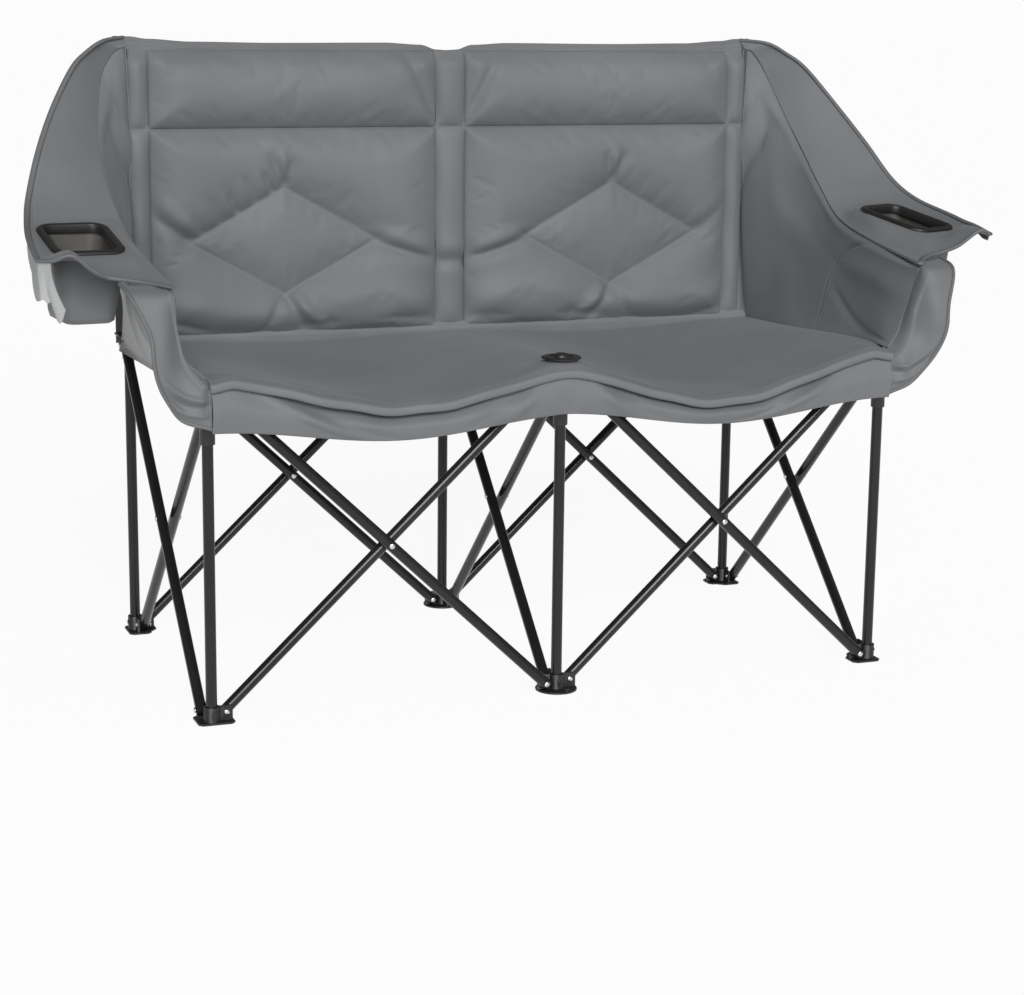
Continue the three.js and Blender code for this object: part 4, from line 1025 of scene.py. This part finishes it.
def band_face(u, v):
    if v < 0.1:
        tucked = mixed(skirt_corner, band_fold(u), eased(u, 0, 0.06)) + (0.002, 0.001, 0)
        tucked = tucked + np.array((-0.011, 0.008, -0.006)) * faded(u, 0.03, 0.16)
        return mixed(tucked, band_face(u, 0.1), v / 0.1)
    v = (v - 0.1) / 0.9
    place = mixed(band_inner(u), band_outer(u), v)
    open_end = eased(u, 0.0, 0.12)
    swell = 0.016 * arch(v ** 0.8) * open_end * mixed(1, 0.55, u)
    swell += 0.008 * bell(v, 0.05, 0.06) * open_end
    pleat = bell(v - 0.25 - 1.5 * u, 0, 0.07) - 0.7 * bell(v - 0.42 - 1.6 * u, 0, 0.08)
    pleat += 0.6 * bell(v - 0.7 - 0.9 * u, 0, 0.06)
    swell += 0.006 * pleat * faded(u, 0.22, 0.5) * min(1, 9 * v, 9 * (1 - v)) * eased(u, 0, 0.06)
    swell += 0.0025 * math.sin(11 * u + 3 * v) * arch(v) * open_end
    place[1] -= swell
    place[0] += 0.0022 * math.sin(17 * u) * v * open_end
    return place


# Flaps: the loose lower hem of each arm, which hangs behind the cup pocket. The left flap's pale back, which shows
# beside the pocket, is partly a painted highlight.
def flap_face(u, v, side):
    """The left one starts on the arm's front edge, turns the corner and runs back; the right one is curled up short."""
    corner_at, full = (0.25, 0.05) if side < 0 else (0.0, 0.008)
    if u < corner_at:
        edge = arm_front(mixed(0.86, 1, u / corner_at))
        length = mixed(1.45, 1, eased(u, 0.03, corner_at)) - 0.1 * faded(u, 0, 0.04)
    else:
        along = (u - corner_at) / (1 - corner_at)
        edge, length = wing_edge(mixed(1, 0.72, along)), mixed(1, 0.3, eased(along, 0, 1))
    drop = full * length * v * (1 + 0.09 * math.sin(29 * u) - 0.07 * math.sin(53 * u + 1))
    curl = 0.001 + full * mixed(0.32, 0.04, eased(u, corner_at - 0.2, corner_at + 0.04)) * v * v
    curl += 0.0025 * math.sin(25 * u + 2 * v) * v - 0.07 * full * v * bell(u, corner_at + 0.03, 0.12)
    return edge + (-curl, 0.004 * math.sin(17 * u) * v + 0.002, -0.0028 - drop)


def mirrored_cloth(name, face, across, along, thickness, node, side, under=None, crumples=True):
    """One side's copy of a sheet that is laid out for the right side."""
    sheet = cloth_shell(name, lambda u, v: to_side(face(u, v), side), across, along, thickness * side,
                        under=under and (lambda u, v: to_side(under(u, v), side)), backing=pale_backing_and_painted_highlight)
    return fitted(sheet, node, squash=arm_squash[side] if crumples else None)


for side, name in hands:
    wall = mirrored_cloth(f"{name}_side_wall_cloth", wall_face, 150, 110, 0.005, f"{name}_side_wall", side,
                          under=wall_outside)
    gusset = cloth_shell(f"{name}_back_gusset", lambda u, v: to_side(gusset_face(u, v), side), 10, 90, 0.0016 * side)
    fitted(gusset, f"{name}_side_wall", stands_for_it=False, squash=arm_squash[side])
    band = mirrored_cloth(f"{name}_arm_band_cloth", band_face, 90, 46, -0.003, f"{name}_arm_band", side,
                          crumples=False)
    binding = edge_tape(f"{name}_band_binding", [to_side(band_face(k / 90, 1), side) for k in range(91)], 0.005, 0.006,
                        f"{name}_arm_band", binding_tape)
    flap = mirrored_cloth(f"{name}_arm_flap_cloth", lambda u, v: flap_face(u, v, side), 90, 24, 0.0016,
                          f"{name}_arm_flap", side)

# Cup holders: a rigid black ring clipped into each arm, with a rounded rim and a short neck, and a pocket of the
# same cloth sewn round the neck, lined with brown-grey mesh.
mesh_lining, shader, nodes, links, place, bump = painted(
    "brown_grey_mesh", (0.055, 0.05, 0.044), 0.6, 420, 0.0003, 3, ((0.046, 0.042, 0.037), (0.068, 0.062, 0.055)),
    (0.5, 0.7))
holes = added(nodes, "ShaderNodeTexVoronoi", Scale=520)
netting = added(nodes, "ShaderNodeBump", Strength=0.5, Distance=0.0004)
wired(links, (place, "Object", holes, "Vector"), (holes, "Distance", netting, "Height"),
      (bump, "Normal", netting, "Normal"), (netting, "Normal", shader, "Normal"))

ring_opening, ring_inner_corner = 0.082, 0.015
rim_profile = [(0.0, -0.008), (0.0, 0.0028), (0.0008, 0.0041), (0.0026, 0.005), (0.0056, 0.0052), (0.0084, 0.0046),
               (0.0102, 0.0034), (0.011, 0.002), (0.011, 0.0006), (0.0104, 0.0001), (0.0034, 0.0001), (0.003, -0.0006),
               (0.003, -0.008)]
# The pocket from its mouth down outside and up inside: how far out, height, share of the ring's tilt, depth of folds.
pocket_profile = [
    (0, -0.0003, 1, 0), (0.0008, -0.014, 1, 0.4), (0.001, -0.035, 0.7, 1), (0, -0.07, 0.3, 1),
    (-0.001, -0.1, 0.05, 0.7), (-0.003, -0.1085, 0, 0.3), (-0.009, -0.1118, 0, 0), (-0.02, -0.1122, 0, 0),
    (-0.02, -0.1106, 0, 0), (-0.0105, -0.1102, 0, 0), (-0.005, -0.106, 0, 0.5), (-0.0035, -0.098, 0, 1),
    (-0.0028, -0.07, 0.3, 1.6), (-0.0022, -0.035, 0.7, 1.6), (-0.0022, -0.014, 1, 0.6), (-0.0022, -0.0003, 1, 0)]
outer_floor = 7  # the row of the profile that the floor's lower face fills
mouth = ring_opening + 2 * 0.0084
for side, name in hands:
    loops = [[in_holder(x, y, z, side, "ring") for x, y in rounded_oblong(
        ring_opening + 2 * out, ring_inner_corner + out, 10)] for out, z in rim_profile]
    ring = lofted(f"{name}_cup_ring_moulding", loops, moulded_plastic, False, 38)
    fitted(ring, f"{name}_cup_ring")

    loops = []
    for row, (out, z, follow, creased) in enumerate(pocket_profile):
        narrow = 0.018 * min(1, -z / 0.1)
        loop = []
        for x, y in rounded_oblong(mouth + 2 * out - narrow, 0.0234 + out, 12):
            turn = math.atan2(y, x)
            fold = creased * (0.0011 * math.sin(3 * turn + 40 * z + side) + 0.0009 * math.sin(7 * turn - 30 * z))
            if row > outer_floor + 1:
                fold -= 0.004 * creased * (0.5 + 0.5 * math.sin(5 * turn + 25 * z + 2 * side)) ** 2
            reach = 1 + fold / math.hypot(x, y)
            loop.append(in_holder(x * reach, y * reach, z, side, follow))
        loops.append(loop)
    count = len(loops[0])
    corners = [point for loop in loops for point in loop]
    faces = skin([*range(outer_floor), *range(outer_floor + 1, len(loops) - 1)], count)
    faces += ring_join(len(loops), count)
    faces += [tuple(range(row * count, (row + 1) * count)) for row in (outer_floor, outer_floor + 1)]
    pocket = make_piece(f"{name}_cup_pocket_cloth", corners, faces, cloth, 60)
    pocket.data.materials.append(mesh_lining)
    middle = in_holder(0, 0, -0.05, side, 0)
    for face in pocket.data.polygons:
        to_axis = np.array(face.center) - middle
        outward = np.array(face.normal)[:2] @ to_axis[:2]
        inner_floor = face.normal.z > 0.5 and face.center.z < middle[2]
        face.material_index = 1 if outward < 0 or inner_floor else 0
    fitted(pocket, f"{name}_cup_pocket")

# Stitches: rows of grey thread along every seam that shows, each stitch a small rounded stroke.
thread = painted("grey_thread", (0.24, 0.245, 0.25), 0.75, 1800, 0.0001, 2,
                 ((0.2, 0.205, 0.21), (0.27, 0.275, 0.28)), (0.65, 0.85))[0]
stitch_tree, stitch_sizes = strewn("stitches", ("Thread width", "Stitch length"), "way_along", (6, 5), 0.5, thread)
thread_width, stitch_length = 0.0009, 0.0034


def stitched(name, paths, node, squash=None, pitch=0.0046):
    """Stitches at an even pitch along each path, a function of the share of its length, as one mesh."""
    spots, ways = [], []
    for path in paths:
        line = np.array([path(k / 240) for k in range(241)])
        steps = np.linalg.norm(np.diff(line, axis=0), axis=1)
        run = np.concatenate(([0], np.cumsum(steps)))
        for at in np.arange(pitch / 2, run[-1], pitch):
            here, ahead = ([np.interp(where, run, line[:, axis]) for axis in range(3)]
                           for where in (at, min(at + 0.001, run[-1])))
            spots.append(here)
            ways.append(np.array(ahead) - here if at + 0.001 < run[-1] else ways[-1])
    rows = spotted(name, stitch_tree, stitch_sizes, (thread_width, stitch_length), "way_along", spots, ways)
    fitted(rows, node, stands_for_it=False, squash=squash)


strip_seams = [lambda v, x=x: np.array((x, back_face - 0.0071, mixed(0.489, 0.889, v)))
               for side in (-1, 1) for x in (side * 0.0207, side * 0.4915)]
under_top = [lambda u: rear_face(mixed(0.01, 0.99, u), 0.075) + (0, -0.0008, 0.0004)]
stitched("back_stitches", strip_seams + under_top, "back_cover", middle_squash)
stitched("skirt_stitches", [lambda u: skirt_face(mixed(0.004, 0.996, u), 0.88) - (0, 0.0006, 0)],
         "front_skirt", middle_squash)
for side, name in hands:
    stitched(f"{name}_wing_stitches",
             [lambda u: to_side(wing_point(mixed(0.01, 0.985, u), 0.92, side), side) + (0, 0, 0.0004)],
             f"{name}_wing", arm_squash[side])
    stitched(f"{name}_wall_stitches",
             [lambda v, off=off: to_side(wall_face(wall_seam(mixed(0.03, 0.93, v)) + off, mixed(0.03, 0.93, v)), side)
              - (side * 0.0005, 0, 0) for off in (0.006, 0.0125)], f"{name}_side_wall", arm_squash[side])
    stitched(f"{name}_band_stitches",
             [lambda v, u=u: to_side(band_face(u, mixed(0.16, 0.97, v)), side) - (0, 0.0005, 0)
              for u in (0.018, 0.034)], f"{name}_arm_band")
